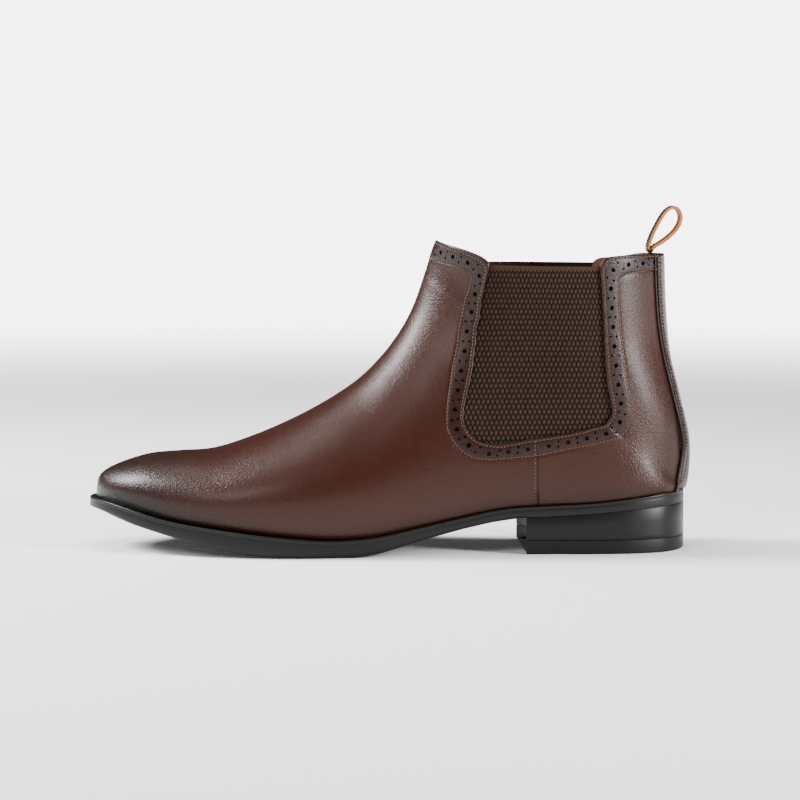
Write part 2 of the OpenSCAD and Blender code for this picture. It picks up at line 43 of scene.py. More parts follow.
# ---------------------------------------------------------------- boot surface (mm), as in the CAD
KY = 104 / 99.5
LEATHER, MIDDLE, LINING, GAP = 1.6, 1.0, 1.0, 0.15
D_MID = LEATHER + GAP
D_LIN = D_MID + MIDDLE + GAP
D_IN = D_LIN + LINING
ST = np.array([
    [-149.6, 29.5, -149.6, 25.0, 0, 0, 0.60, 0, 0, 0, 3.4],
    [-148.4, 34.9, -148.4, 25.0, 7.2, 7.2, 0.62, 6.7, 6.7, 0, 3.6],
    [-144.8, 38.6, -144.8, 24.6, 14.2, 14.2, 0.64, 13.2, 13.2, 0, 3.9],
    [-139.0, 41.6, -139.0, 23.7, 20.8, 20.8, 0.66, 19.3, 19.3, 0, 4.3],
    [-131.0, 44.6, -131.0, 21.9, 26.8, 26.7, 0.67, 24.8, 24.8, 0, 4.7],
    [-120.6, 47.3, -120.6, 19.2, 32.5, 32.5, 0.68, 30.2, 30.3, 0, 5.0],
    [-106.6, 48.6, -106.6, 16.4, 38.0, 38.2, 0.69, 35.5, 35.7, 0, 5.2],
    [-89.6, 50.0, -89.6, 14.2, 43.0, 43.2, 0.69, 40.4, 40.3, 0.01, 5.4],
    [-70.6, 56.0, -70.6, 12.0, 46.6, 46.4, 0.69, 43.8, 43.0, 0.02, 5.4],
    [-50.0, 64.8, -50.0, 9.9, 48.2, 46.4, 0.69, 45.0, 42.4, 0.04, 5.3],
    [-31.0, 75.0, -28.0, 8.5, 47.4, 44.4, 0.70, 43.8, 38.4, 0.05, 5.0],
    [-15.0, 86.0, -6.0, 9.8, 44.8, 41.8, 0.71, 40.8, 33.2, 0.06, 4.2],
    [-3.5, 97.6, 15.0, 14.0, 42.0, 39.2, 0.72, 37.2, 28.8, 0.05, 3.2],
    [3.5, 106.8, 36.0, 18.6, 39.4, 37.4, 0.72, 34.2, 26.8, 0.03, 2.5],
    [8.2, 114.4, 58.0, 22.9, 37.4, 36.2, 0.71, 32.2, 27.4, 0.01, 2.1],
    [11.8, 121.6, 80.0, 24.4, 36.0, 35.3, 0.69, 31.2, 29.2, 0, 1.9],
    [14.3, 128.0, 102.0, 25.6, 35.2, 34.8, 0.66, 31.2, 30.8, -0.01, 1.7],
    [16.0, 133.0, 122.0, 27.7, 34.8, 34.5, 0.63, 29.4, 29.4, -0.02, 1.5],
    [17.3, 137.0, 137.0, 29.2, 34.6, 34.3, 0.60, 23.6, 23.6, -0.03, 1.2],
    [18.4, 140.2, 146.4, 29.9, 34.5, 34.2, 0.58, 13.2, 13.2, -0.03, 0.8],
    [19.2, 142.8, 149.8, 30.6, 34.5, 34.2, 0.56, 0, 0, -0.03, 0.8],
    [19.9, 145.0, 151.5, 41.0, 34.6, 34.4, 0.55, 0, 0, -0.03, 0.8],
    [20.6, 147.2, 151.3, 56.5, 34.9, 34.7, 0.54, 0, 0, -0.03, 0.8],
    [21.5, 149.8, 146.8, 76.0, 35.5, 35.3, 0.53, 0, 0, -0.03, 0.8],
    [22.4, 152.2, 141.5, 98.0, 36.4, 36.2, 0.52, 0, 0, -0.03, 0.8],
    [23.2, 154.2, 139.1, 122.0, 37.4, 37.2, 0.51, 0, 0, -0.03, 0.8],
    [23.9, 156.0, 138.0, 149.2, 38.2, 38.0, 0.50, 0, 0, -0.03, 0.8]])
U_BACK, U_TOP = 20.0, 26.0
_flip = ST[3:0:-1].copy()
_flip[:, [4, 5, 7, 8]] *= -1
_end = 2 * ST[-1] - ST[-2]
ROWS = np.vstack([_flip, ST, [_end], [_end]])

def station(u):
    u = np.asarray(u, float)
    i = np.clip(np.floor(u).astype(int), 0, len(ST) - 2)
    t = (u - i)[..., None]
    a, b, c, d = (ROWS[i + 3 + k] for k in (-1, 0, 1, 2))
    return (b + 0.5 * t * (c - a) + t * t * (a - 2.5 * b + 2 * c - 0.5 * d)
            + t ** 3 * (1.5 * b - 0.5 * a - 1.5 * c + 0.5 * d))

_us = np.linspace(0, 20, 401)
_st = station(_us)

def unit(v):
    return v / np.linalg.norm(v, axis=-1, keepdims=True)

def drift(x):
    return np.where(x > -60, 0, 6 * (np.maximum(-60 - x, 0) / 90) ** 2)

def low_half(s, u, b):
    return np.where(u >= U_BACK, 0, np.maximum(0, np.where(b < 0, s[..., 7], s[..., 8])))

def skin(u, b):
    """Point of the outer surface in mm. b < 0 is the outer side of the foot, |b| is the share round."""
    u, b = np.broadcast_arrays(np.asarray(u, float), np.asarray(b, float))
    s = station(u)
    side = np.where(b < 0, -1.0, 1.0)
    w = np.where(b < 0, s[..., 4], s[..., 5])
    yl = low_half(s, u, b)
    a = np.abs(b)
    t = np.radians(90 * np.where(a < 1, a, a - 1))
    f = s[..., 9] * np.sin(2 * t) ** 2
    g = np.where(a < 1, s[..., 6] * (1 - np.cos(t)), s[..., 6] + (1 - s[..., 6]) * np.sin(t))
    y = np.where(a < 1, w * (np.sin(t) - f), yl + (w - yl) * (np.cos(t) - f))
    x = s[..., 0] + (s[..., 2] - s[..., 0]) * g
    z = s[..., 1] + (s[..., 3] - s[..., 1]) * g
    return np.stack([x, KY * (side * y + drift(x)), z], -1)

def outward(u, b):
    u, b = np.broadcast_arrays(np.asarray(u, float), np.asarray(b, float))
    e = 0.02
    a = np.abs(b)
    seam = (a < 0.001) | (u < 0.001) | ((a > 1.999) & (u >= U_BACK))
    side = np.where(seam | (b < 0), -1.0, 1.0)
    am = np.where((u < U_BACK) & (a > 1.72), 1.72, np.clip(a, 0.03, 1.97))
    um = np.clip(u, 0.03, U_TOP - 0.03)
    du = skin(um + e, side * am) - skin(um - e, side * am)
    da = skin(um, side * (am + e)) - skin(um, side * (am - e))
    n = np.cross(du, da) * side[..., None]
    n[..., 1] = np.where(seam, 0, n[..., 1])
    return unit(n)

def layer(u, b, d):
    return skin(u, b) - np.asarray(d, float)[..., None] * outward(u, b)

def place(x, z):
    """Side view point (mm) to station and share (unsigned)."""
    x, z = np.asarray(x, float), np.asarray(z, float)
    lo, hi = np.zeros(x.shape), np.full(x.shape, U_TOP)
    for _ in range(30):
        m = (lo + hi) / 2
        s = station(m)
        up = (s[..., 2] - s[..., 0]) * (z - s[..., 1]) - (s[..., 3] - s[..., 1]) * (x - s[..., 0]) > 0
        lo, hi = np.where(up, m, lo), np.where(up, hi, m)
    u = (lo + hi) / 2
    s = station(u)
    lx, lz = s[..., 2] - s[..., 0], s[..., 3] - s[..., 1]
    g = np.clip((lx * (x - s[..., 0]) + lz * (z - s[..., 1])) / (lx ** 2 + lz ** 2), 0, 1)
    gm = s[..., 6]
    top = np.degrees(np.arccos(np.clip(1 - g / gm, -1, 1))) / 90
    low = 1 + np.degrees(np.arcsin(np.clip((g - gm) / (1 - gm), 0, 1))) / 90
    return u, np.where(g < gm, top, low)

def spline(points, n, by=None):
    """n points at even distance on a smooth curve through points; by = columns that distance is measured on."""
    p = np.asarray(points, float)
    q = np.vstack([2 * p[0] - p[1], p, 2 * p[-1] - p[-2]])
    fine = []
    for i in range(1, len(q) - 2):
        t = np.linspace(0, 1, 24, endpoint=False)[:, None]
        a, b, c, d = q[i - 1], q[i], q[i + 1], q[i + 2]
        fine.append(b + 0.5 * t * (c - a) + t * t * (a - 2.5 * b + 2 * c - 0.5 * d)
                    + t ** 3 * (1.5 * b - 0.5 * a - 1.5 * c + 0.5 * d))
    fine = np.vstack(fine + [p[-1:]])
    m = fine if by is None else fine[:, by]
    s = np.concatenate([[0], np.cumsum(np.linalg.norm(np.diff(m, axis=0), axis=1))])
    at = np.linspace(0, s[-1], n)
    return np.stack([np.interp(at, s, fine[:, k]) for k in range(p.shape[1])], -1)

# ---------------------------------------------------------------- mesh helpers
def shade(me, angle):
    """Smooth shading, with sharp edges above an angle in degrees; 0 leaves every edge smooth."""
    me.shade_smooth()
    if angle:
        me.set_sharp_from_angle(angle=math.radians(angle))

def weld_mesh(me, distance):
    bm = bmesh.new()
    bm.from_mesh(me)
    bmesh.ops.remove_doubles(bm, verts=bm.verts, dist=distance)
    bmesh.ops.recalc_face_normals(bm, faces=bm.faces)
    bm.to_mesh(me)
    bm.free()

def apply_modifiers(o):
    me = bpy.data.meshes.new_from_object(o.evaluated_get(bpy.context.evaluated_depsgraph_get()))
    o.modifiers.clear()
    o.data = me
    return o

def make(name, verts, faces, mats, index=None, smooth=35, burnish_and_shade=None):
    """Mesh object from mm vertices."""
    me = bpy.data.meshes.new(name)
    me.from_pydata((np.asarray(verts) * MM).tolist(), [], [list(map(int, f)) for f in faces])
    for m in mats:
        me.materials.append(m)
    if index is not None:
        me.polygons.foreach_set("material_index", np.asarray(index, np.int32))
    if burnish_and_shade is not None:
        at = me.attributes.new("burnish_and_shade", "FLOAT", "POINT")
        at.data.foreach_set("value", np.asarray(burnish_and_shade, np.float32))
    me.validate()
    shade(me, smooth)
    o = bpy.data.objects.new(name, me)
    bpy.context.scene.collection.objects.link(o)
    return o

class Build:
    """Collects pieces of mesh, each with a material index and values of burnish and painted shade, into one object."""

    def __init__(self):
        self.v, self.f, self.m, self.b, self.n = [], [], [], [], 0

    def add(self, v, f, mat=0, burnish_and_shade=0.0):
        v = np.asarray(v, float).reshape(-1, 3)
        f = [tuple(int(k) + self.n for k in q) for q in f]
        self.v.append(v)
        self.f += f
        self.m += list(np.broadcast_to(mat, len(f)))
        self.b.append(np.broadcast_to(burnish_and_shade, len(v)).astype(float))
        self.n += len(v)

    def object(self, name, mats, smooth=35, weld=0.0):
        o = make(name, np.vstack(self.v), self.f, mats, self.m, smooth, np.concatenate(self.b))
        if weld:
            weld_mesh(o.data, weld * MM)
            shade(o.data, smooth)
        return o

def grid_faces(n, m, o=0, wrap_m=False):
    """Quads of an n by m grid of points that starts at index o."""
    i, k = np.meshgrid(np.arange(n - 1), np.arange(m - (0 if wrap_m else 1)), indexing="ij")
    k2 = (k + 1) % m
    q = np.stack([i * m + k, (i + 1) * m + k, (i + 1) * m + k2, i * m + k2], -1) + o
    return q.reshape(-1, 4)

def capped(n, m, o=0):
    """Faces of a tube of n rings with m points each, closed at both ends."""
    return ([tuple(q) for q in grid_faces(n, m, o, wrap_m=True)]
            + [tuple(range(o, o + m))[::-1], tuple(range(o + (n - 1) * m, o + n * m))])

def prisms(pairs):
    """Closed prisms, each between two rings of points."""
    V, F = [], []
    for i, (first, second) in enumerate(pairs):
        n = len(first)
        o, k = 2 * n * i, np.arange(n)
        V += [first, second]
        F += [tuple(q) for q in np.stack([o + k, o + (k + 1) % n, o + n + (k + 1) % n, o + n + k], -1)]
        F += [tuple(o + k[::-1]), tuple(o + n + k)]
    return np.vstack(V), F

def slab(outer, inner):
    """Closed mesh between two grids of the same shape."""
    n, m = outer.shape[:2]
    v = np.vstack([outer.reshape(-1, 3), inner.reshape(-1, 3)])
    s = n * m
    f = [grid_faces(n, m), grid_faces(n, m, s)[:, ::-1]]
    i, k = np.arange(n - 1), np.arange(m - 1)
    f.append(np.stack([k, k + 1, k + 1 + s, k + s], -1))
    f.append(np.stack([k + (n - 1) * m, k + (n - 1) * m + s, k + 1 + (n - 1) * m + s, k + 1 + (n - 1) * m], -1))
    f.append(np.stack([i * m, i * m + s, (i + 1) * m + s, (i + 1) * m], -1))
    e = i * m + m - 1
    f.append(np.stack([e, e + m, e + m + s, e + s], -1))
    return v, np.vstack(f)

def rim(dist, r):
    """Share of rounding 0..1 at a distance from a folded edge of radius r."""
    x = np.clip(1 - dist / r, 0, 1)
    return 1 - np.sqrt(np.clip(1 - x * x, 0, 1))

def smoothstep(a, b, x):
    t = np.clip((x - a) / (b - a), 0, 1)
    return t * t * (3 - 2 * t)

def circle(n):
    """n angles round a full turn."""
    return np.linspace(0, 2 * math.pi, n, endpoint=False)

def boolean_cut(obj, cutter):
    mod = obj.modifiers.new("cut", "BOOLEAN")
    mod.operation = "DIFFERENCE"
    mod.object = cutter
    mod.solver = "MANIFOLD"
    apply_modifiers(obj)
    bpy.data.objects.remove(cutter)

def tube_along(path, out, radius, n):
    """Round closed tube along mm points, with outward directions."""
    t = unit(np.gradient(path, axis=0))
    o = unit(out - (out * t).sum(1, keepdims=True) * t)
    c = np.cross(t, o)
    a = circle(n)
    r = np.broadcast_to(radius, len(path))[:, None, None]
    v = path[:, None] + r * (np.cos(a)[None, :, None] * o[:, None] + np.sin(a)[None, :, None] * c[:, None])
    return v.reshape(-1, 3), capped(len(path), n)

# ---------------------------------------------------------------- materials
def nodes_of(name):
    m = bpy.data.materials.new(name)
    m.use_nodes = True
    return m, m.node_tree.nodes, m.node_tree.links, m.node_tree.nodes["Principled BSDF"]

def texture(n, l, kind, scale, coord, detail=4.0, rough=0.55, stretch=None):
    if stretch:
        mp = n.new("ShaderNodeMapping")
        mp.inputs["Scale"].default_value = stretch
        l.new(coord, mp.inputs["Vector"])
        coord = mp.outputs[0]
    t = n.new("ShaderNodeTexNoise" if kind == "noise" else "ShaderNodeTexVoronoi")
    t.inputs["Scale"].default_value = scale
    if kind == "noise":
        t.inputs["Detail"].default_value = detail
        t.inputs["Roughness"].default_value = rough
    else:
        t.feature = kind
    l.new(coord, t.inputs["Vector"])
    return t

def feed(l, sock, v):
    """Link a socket, or set its constant."""
    if isinstance(v, bpy.types.NodeSocket):
        l.new(v, sock)
    else:
        sock.default_value = (*v, 1) if isinstance(v, tuple) else v

def mix_color(n, l, fac, a, b):
    m = n.new("ShaderNodeMix")
    m.data_type = "RGBA"
    for i, v in ((0, fac), (6, a), (7, b)):
        feed(l, m.inputs[i], v)
    return m.outputs[2]

def math_node(n, l, op, *values, clamp=False):
    m = n.new("ShaderNodeMath")
    m.operation = op
    m.use_clamp = clamp
    for sock, v in zip(m.inputs, values):
        feed(l, sock, v)
    return m.outputs[0]

def bump(n, l, height, strength, distance):
    b = n.new("ShaderNodeBump")
    b.inputs["Strength"].default_value = strength
    b.inputs["Distance"].default_value = distance
    l.new(height, b.inputs["Height"])
    return b.outputs[0]

LEATHER_SPECULAR, PLAIN_SPECULAR, ELASTIC_SPECULAR = 0.2, 0.25, 0.12

def leather(name, light, dark, rough=0.36, grain=0.8, coat=0.12, mottle=0.35):
    """Burnished smooth leather: hair-cell grain, cloudy colour, darker where the mesh's value of burnish and painted
    shade is high.
    """
    m, n, l, b = nodes_of(name)
    co = n.new("ShaderNodeTexCoord").outputs["Object"]
    cloud = texture(n, l, "noise", 28, co, 3.0, 0.5).outputs["Fac"]
    fine = texture(n, l, "noise", 420, co, 5.0, 0.6).outputs["Fac"]
    cells = texture(n, l, "F1", 1500, co).outputs["Distance"]
    pores = texture(n, l, "F1", 900, co).outputs["Distance"]
    crumb = texture(n, l, "noise", 1300, co, 3.0, 0.6).outputs["Fac"]
    burnish_and_shade = n.new("ShaderNodeAttribute")
    burnish_and_shade.attribute_name = "burnish_and_shade"
    tone = mix_color(n, l, math_node(n, l, "MULTIPLY", cloud, mottle), light, tuple(0.62 * c for c in light))
    tone = mix_color(n, l, math_node(n, l, "MULTIPLY", fine, 0.25), tone, tuple(1.35 * c for c in light))
    # the mask darkens the tone: burnish on toe, topline and edges, painted shade at the sole line, the lining's bottom
    # and the liner's sides
    burnish_and_shade_amount = math_node(n, l, "MULTIPLY", burnish_and_shade.outputs["Fac"], math_node(n, l, "ADD", cloud, 0.55), clamp=True)
    tone = mix_color(n, l, burnish_and_shade_amount, tone, dark)
    l.new(tone, b.inputs["Base Color"])
    l.new(math_node(n, l, "MULTIPLY_ADD", fine, 0.16, rough - 0.08), b.inputs["Roughness"])
    b.inputs["Specular IOR Level"].default_value = LEATHER_SPECULAR
    b.inputs["Coat Weight"].default_value = coat
    b.inputs["Coat Roughness"].default_value = 0.28
    h = math_node(n, l, "ADD", math_node(n, l, "MULTIPLY", cells, 0.6),
                  math_node(n, l, "MULTIPLY", math_node(n, l, "ADD", crumb, pores), 0.5))
    l.new(bump(n, l, h, grain, 0.00022), b.inputs["Normal"])
    return m

def plain(name, color, rough=0.6, scale=300, depth=0.0001, strength=0.3, vary=0.25, metal=0.0, stretch=None):
    """Moulded, woven or metal stock: fine noise in colour, roughness and height."""
    m, n, l, b = nodes_of(name)
    co = n.new("ShaderNodeTexCoord").outputs["Object"]
    fine = texture(n, l, "noise", scale, co, 4.0, 0.6, stretch).outputs["Fac"]
    broad = texture(n, l, "noise", 22, co, 3.0, 0.5).outputs["Fac"]
    tone = mix_color(n, l, math_node(n, l, "MULTIPLY", broad, vary * 1.4), color, tuple(0.7 * c for c in color))
    tone = mix_color(n, l, math_node(n, l, "MULTIPLY", fine, vary), tone, tuple(min(1, 1.4 * c) for c in color))
    l.new(tone, b.inputs["Base Color"])
    l.new(math_node(n, l, "MULTIPLY_ADD", broad, 0.14, rough - 0.07), b.inputs["Roughness"])
    b.inputs["Metallic"].default_value = metal
    b.inputs["Specular IOR Level"].default_value = PLAIN_SPECULAR
    l.new(bump(n, l, fine, strength, depth), b.inputs["Normal"])
    return m

BROWN = (0.025, 0.0043, 0.0009)
DARK = (0.0044, 0.0015, 0.0011)
mat_upper = leather("upper_leather", BROWN, DARK)
# dark cut leather edges, also used for the seam line that is painted shade of the side seam's groove
mat_edge_and_seam_shade = plain("cut_edge_and_seam_shade", (0.008, 0.0038, 0.003), 0.75, 500)
mat_strip = leather("strip_leather", (0.025, 0.0050, 0.0014), DARK, 0.38)
mat_piping = leather("piping_leather", (0.007, 0.0034, 0.0028), (0.004, 0.0022, 0.002), 0.42, 0.3, 0.05)
mat_lining = leather("lining_leather", (0.15, 0.062, 0.028), (0.07, 0.03, 0.015), 0.55, 0.35, 0.0)
mat_sock = leather("sock_leather", (0.22, 0.095, 0.042), (0.11, 0.05, 0.024), 0.6, 0.3, 0.0)
mat_loop_face = leather("loop_face_leather", (0.030, 0.0085, 0.0035), DARK, 0.42, 0.3, 0.05)
mat_loop_edge = plain("loop_raw_edge", (0.36, 0.125, 0.032), 0.7, 700, 0.00012, 0.5, 0.35)
mat_thread = plain("thread", (0.11, 0.046, 0.024), 0.6, 2600, 0.00005, 0.6, 0.3)
mat_thread_dark = plain("thread_dark", (0.018, 0.008, 0.006), 0.6, 2600, 0.00005, 0.6, 0.3)
mat_rubber = plain("sole_rubber", (0.0016, 0.0019, 0.0014), 0.42, 240, 0.00012, 0.22, 0.3)
mat_heel = plain("heel_block", (0.0014, 0.0015, 0.0012), 0.38, 90, 0.00010, 0.15, 0.25, stretch=(0.3, 0.3, 3.0))
mat_lift = plain("lift_rubber", (0.0013, 0.0014, 0.0012), 0.44, 420, 0.00012, 0.3, 0.3)
mat_steel = plain("steel", (0.55, 0.55, 0.56), 0.34, 400, 0.00003, 0.2, 0.1, 1.0)
mat_brass = plain("brass", (0.62, 0.46, 0.2), 0.36, 400, 0.00003, 0.2, 0.1, 1.0)
mat_board = plain("board", (0.5, 0.34, 0.2), 0.85, 500, 0.0002, 0.5, 0.4)
mat_cork = plain("cork", (0.42, 0.25, 0.12), 0.9, 260, 0.0005, 0.8, 0.8)
mat_foam = plain("foam", (0.75, 0.66, 0.42), 0.95, 900, 0.0004, 0.8, 0.2)
mat_puff = plain("puff_sheet", (0.78, 0.74, 0.62), 0.7, 300, 0.0001, 0.3, 0.1)
mat_cloth = plain("interlining_cloth", (0.7, 0.66, 0.56), 0.9, 1400, 0.0002, 0.6, 0.3)

def knit_material():
    """Elastic: lighter raised stitches over a near-black ground, with fine yarn lines; the ground is partly the
    elastic's own dark colour, partly painted shade between the stitches.
    """
    m, n, l, b = nodes_of("gore_elastic")
    co = n.new("ShaderNodeTexCoord").outputs["Object"]
    at = n.new("ShaderNodeAttribute")
    at.attribute_name = "burnish_and_shade"
    yarn = texture(n, l, "noise", 900, co, 3.0, 0.5, (1.0, 1.0, 0.25)).outputs["Fac"]
    broad = texture(n, l, "noise", 40, co).outputs["Fac"]
    light = mix_color(n, l, broad, (0.056, 0.0255, 0.0155), (0.040, 0.0175, 0.0105))
    light = mix_color(n, l, math_node(n, l, "MULTIPLY", yarn, 0.7), light, (0.012, 0.0052, 0.0034))
    # light stitches over near-black gaps by the bead mask: in part painted shade in the gaps
    tone = mix_color(n, l, at.outputs["Fac"], (0.0012, 0.0006, 0.0005), light)
    l.new(tone, b.inputs["Base Color"])
    b.inputs["Roughness"].default_value = 0.72
    b.inputs["Specular IOR Level"].default_value = ELASTIC_SPECULAR
    l.new(bump(n, l, yarn, 0.5, 0.0002), b.inputs["Normal"])
    return m

mat_gore = knit_material()

def finish_piece(o, node, body="boot"):
    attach(o, body)
    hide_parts(node)
    return o

SIDES = ((-1, "lateral"), (1, "medial"))

# ---------------------------------------------------------------- pattern lines, side view in mm
# each pair: folded edge x, z and outer stitch line x, z
FRONT_PAIRS = np.array([
    [28.2, 154.2, 25.3, 145.1], [33, 152.9, 30, 144.0], [38, 151.3, 34, 142.8], [42.5, 149.6, 37.4, 141.6],
    [45.6, 148.1, 39.4, 140.7], [48, 146.4, 40.6, 139.6], [49.3, 144.3, 41.1, 138.2],
    [49.5, 141.8, 41.0, 136.4], [48.6, 138.2, 40.6, 134], [47.2, 131.5, 39.2, 129.5],
    [45.9, 125.3, 37.6, 124.7], [44.1, 114.4, 35.3, 114.2], [43, 103.4, 33.9, 103.6],
    [41.6, 92.5, 31.6, 92.8], [39.6, 83, 30.0, 82.5], [38, 76.4, 29, 75], [37.2, 70.6, 28.7, 69],
    [37.4, 66.8, 28.9, 64.6], [39, 63.0, 30, 60.6], [41.4, 59.8, 32.6, 56.2], [44.6, 57.5, 36.6, 51.8],
    [48.6, 56.3, 41.5, 49], [54, 56.1, 49.5, 47.9], [62, 57.1, 61, 48.6], [74.2, 58.7, 74.2, 49.8]])
REAR_PAIRS = np.array([
    [74.2, 58.7, 74.2, 49.8], [86.1, 60.3, 86.2, 52.3], [96.5, 62.4, 97.8, 54.5], [104.5, 64.6, 108, 56.7],
    [108.4, 66.6, 114.6, 58.9], [110.3, 69.2, 118.6, 63.3], [110.8, 72.8, 120, 69.1],
    [110.0, 77.4, 119.6, 76], [108.4, 85.2, 118.4, 85.2], [107.6, 93.5, 117.3, 93],
    [107, 103.5, 116.1, 103.4], [106.5, 114.4, 115, 114.4], [105.8, 125.3, 114.1, 125.3],
    [105.2, 134, 113.8, 132.5], [104.6, 141.5, 114.1, 136], [105.4, 145.2, 115.2, 138],
    [107.4, 147.4, 117, 139.1], [110.8, 148.5, 119.2, 139.8], [117, 148.9, 122, 140.3],
    [125, 149.1, 127, 140.9], [131, 149.2, 131.5, 141.6]])
STRIP_EDGE = np.array([
    [143.2, 29.9, 20], [146.2, 36, 20.35], [148.4, 44, 20.8], [149, 52.6, 21.35], [147.6, 62, 21.9],
    [144.6, 74, 22.6], [141, 88, 23.3], [138, 101, 23.9], [136, 113.3, 24.5], [134.8, 126, 25.1],
    [134.2, 138, 25.55], [133.9, 149, 26]])
SEAM_X = 74.2

def pair_track(pairs, n, start=None, end=None):
    """Rows [edge u, edge share, outer u, outer share] at even spacing along the band."""
    eu, ea = place(pairs[:, 0], pairs[:, 1])
    ou, oa = place(pairs[:, 2], pairs[:, 3])
    t = np.stack([eu, ea, ou, oa], -1)
    if start is not None:
        t = np.vstack([start, t])
    if end is not None:
        t = np.vstack([t, end])
    mid = (skin(t[:, 0], t[:, 1]) + skin(t[:, 2], t[:, 3])) / 2
    s = np.concatenate([[0], np.cumsum(np.linalg.norm(np.diff(mid, axis=0), axis=1))])
    full = np.hstack([t, mid])
    # even spacing in mm by refining the curve twice
    fine = spline(full, 2000, by=[4, 5, 6])
    return fine[np.linspace(0, 1999, n).astype(int), :4], s[-1]

def lowered(pairs, side, near):
    """The inner side's topline sits up to 2.5 mm lower; it meets the outer side's at x = near."""
    if side < 0:
        return pairs
    drop = 2.5 * np.clip((pairs[:, 1] - 137) / 8, 0, 1) * np.clip(np.abs(pairs[:, 0] - near) / 16, 0, 1)
    return pairs - drop[:, None] * [0, 1, 0, 1]

FRONT = {s: pair_track(lowered(FRONT_PAIRS, s, 24), 301, start=[26.0, 0, 21.25, 0]) for s in (-1, 1)}
REAR = {s: pair_track(lowered(REAR_PAIRS, s, 133), 241, end=[26.0, 1.93, 25.72, 1.93]) for s in (-1, 1)}

def crossing(track, t):
    """Station and share across the band: t = 0 folded edge, 1 outer stitch line."""
    e, o = track[:, None, :2], track[:, None, 2:]
    q = e + (o - e) * np.asarray(t)[None, :, None]
    return q[..., 0], q[..., 1]

BAND_T = np.array([0, .004, .012, .026, .05, .09, .14, .165, .19, .23, .32, .45, .6, .75, .86, .92, .96, 1.0, 1.03])
BAND_W = 9.4
FOLD_R, BAND_BACK = 0.85, 1.45

def band_depth(t):
    """Depth of the outer face across the band in mm: rolled edge, two stitch grooves, a soft crown between."""
    d = -0.16 * np.ones_like(t)
    mm = t * BAND_W
    d += 0.16 * np.exp(-((mm - 1.55) / 0.45) ** 2)
    d += 0.30 * smoothstep(8.2, 9.6, mm)
    d -= 0.08 * np.sin(math.pi * np.clip((mm - 2) / 6.6, 0, 1))
    return d

def band(track, side):
    """Outer and inner face of the border, its folded edge rolled round."""
    u, a = crossing(track, BAND_T)
    fold = rim(BAND_T * BAND_W, FOLD_R)
    outer = band_depth(BAND_T)
    mid = 0.5 * (outer[0] + BAND_BACK)
    return [layer(u, side * a, d * (1 - fold) + mid * fold) for d in (outer, BAND_BACK)]

def band_points(track, length, s_mm, t):
    """Surface stations at distances along a band (mm) and share t across."""
    k = np.clip(np.asarray(s_mm) / length, 0, 1) * (len(track) - 1)
    row = np.stack([np.interp(k, np.arange(len(track)), track[:, c]) for c in range(4)], -1)
    return row[:, 0] + (row[:, 2] - row[:, 0]) * t, row[:, 1] + (row[:, 3] - row[:, 1]) * t

def stitches(u, b, depth, pitch=1.8, share=0.66, r=0.27, rise=0.16):
    """Separate thread stitches along a line of stations, each a short bent capsule."""
    p = layer(u, b, depth)
    s = np.concatenate([[0], np.cumsum(np.linalg.norm(np.diff(p, axis=0), axis=1))])
    count = max(1, int(s[-1] / pitch))
    step = s[-1] / count
    ring, cross = 7, 6
    V, F = [], []
    angle = circle(cross)
    for i in range(count):
        at = i * step + np.linspace(0, share * step, ring) + (1 - share) * step / 2
        q = np.stack([np.interp(at, s, u), np.interp(at, s, b)], -1)
        k = np.linspace(-1, 1, ring)
        c = layer(q[:, 0], q[:, 1], depth - rise * (1 - k ** 2))
        n = outward(q[:, 0], q[:, 1])
        t = np.gradient(c, axis=0)
        t /= np.linalg.norm(t, axis=1, keepdims=True) + 1e-9
        x = np.cross(t, n)
        rad = r * np.sqrt(np.clip(1 - 0.92 * k ** 4, 0.05, 1))
        v = c[:, None] + rad[:, None, None] * (np.cos(angle)[None, :, None] * n[:, None]
                                              + np.sin(angle)[None, :, None] * x[:, None])
        o = i * ring * cross
        V.append(v.reshape(-1, 3))
        F += capped(ring, cross, o)
    return np.vstack(V), F

def punch_sites(first, last, pitch=9.7):
    """Holes of a band as (mm along, share across, radius): large ones, and small pairs half way between."""
    count = int(round((last - first) / pitch))
    step = (last - first) / count
    return ([(first + i * step, 0.53, 1.12) for i in range(count + 1)]
            + [(first + (i + 0.5) * step, t, 0.56) for i in range(count) for t in (0.36, 0.70)])

def punched_band(track, length, side, first, last):
    """The band as its own closed mesh with the holes cut through: vertices, faces and which are hole walls."""
    o = make("band_tmp", *slab(*band(track, side)), [], smooth=0)
    ang = circle(20)
    holes, pairs = [], []
    for s, t, r in punch_sites(first, last):
        u, a = band_points(track, length, [s], t)
        p, n = skin(u, side * a)[0], outward(u, side * a)[0]
        x = np.cross(n, [0, 0, 1.0])
        x /= np.linalg.norm(x)
        ring = p + r * (np.cos(ang)[:, None] * x + np.sin(ang)[:, None] * np.cross(n, x))
        holes.append((p, n, r))
        pairs.append((ring + 1.5 * n, ring - 2.2 * n))
    c = make("cut_tmp", *prisms(pairs), [], smooth=0)
    for ob in (o, c):
        weld_mesh(ob.data, 1e-7)
    boolean_cut(o, c)
    me = o.data
    V = np.array([q.co for q in me.vertices]) / MM
    F = [tuple(q.vertices) for q in me.polygons]
    centre = np.array([q.center for q in me.polygons]) / MM
    normal = np.array([q.normal for q in me.polygons])
    wall = np.zeros(len(F), bool)
    for p, n, r in holes:
        d = centre - p
        h = d @ n
        flat = np.linalg.norm(d - h[:, None] * n, axis=1)
        wall |= (flat < r * 1.02) & (np.abs(normal @ n) < 0.6) & (np.abs(h) < 3)
    bpy.data.objects.remove(o)
    return V, F, wall

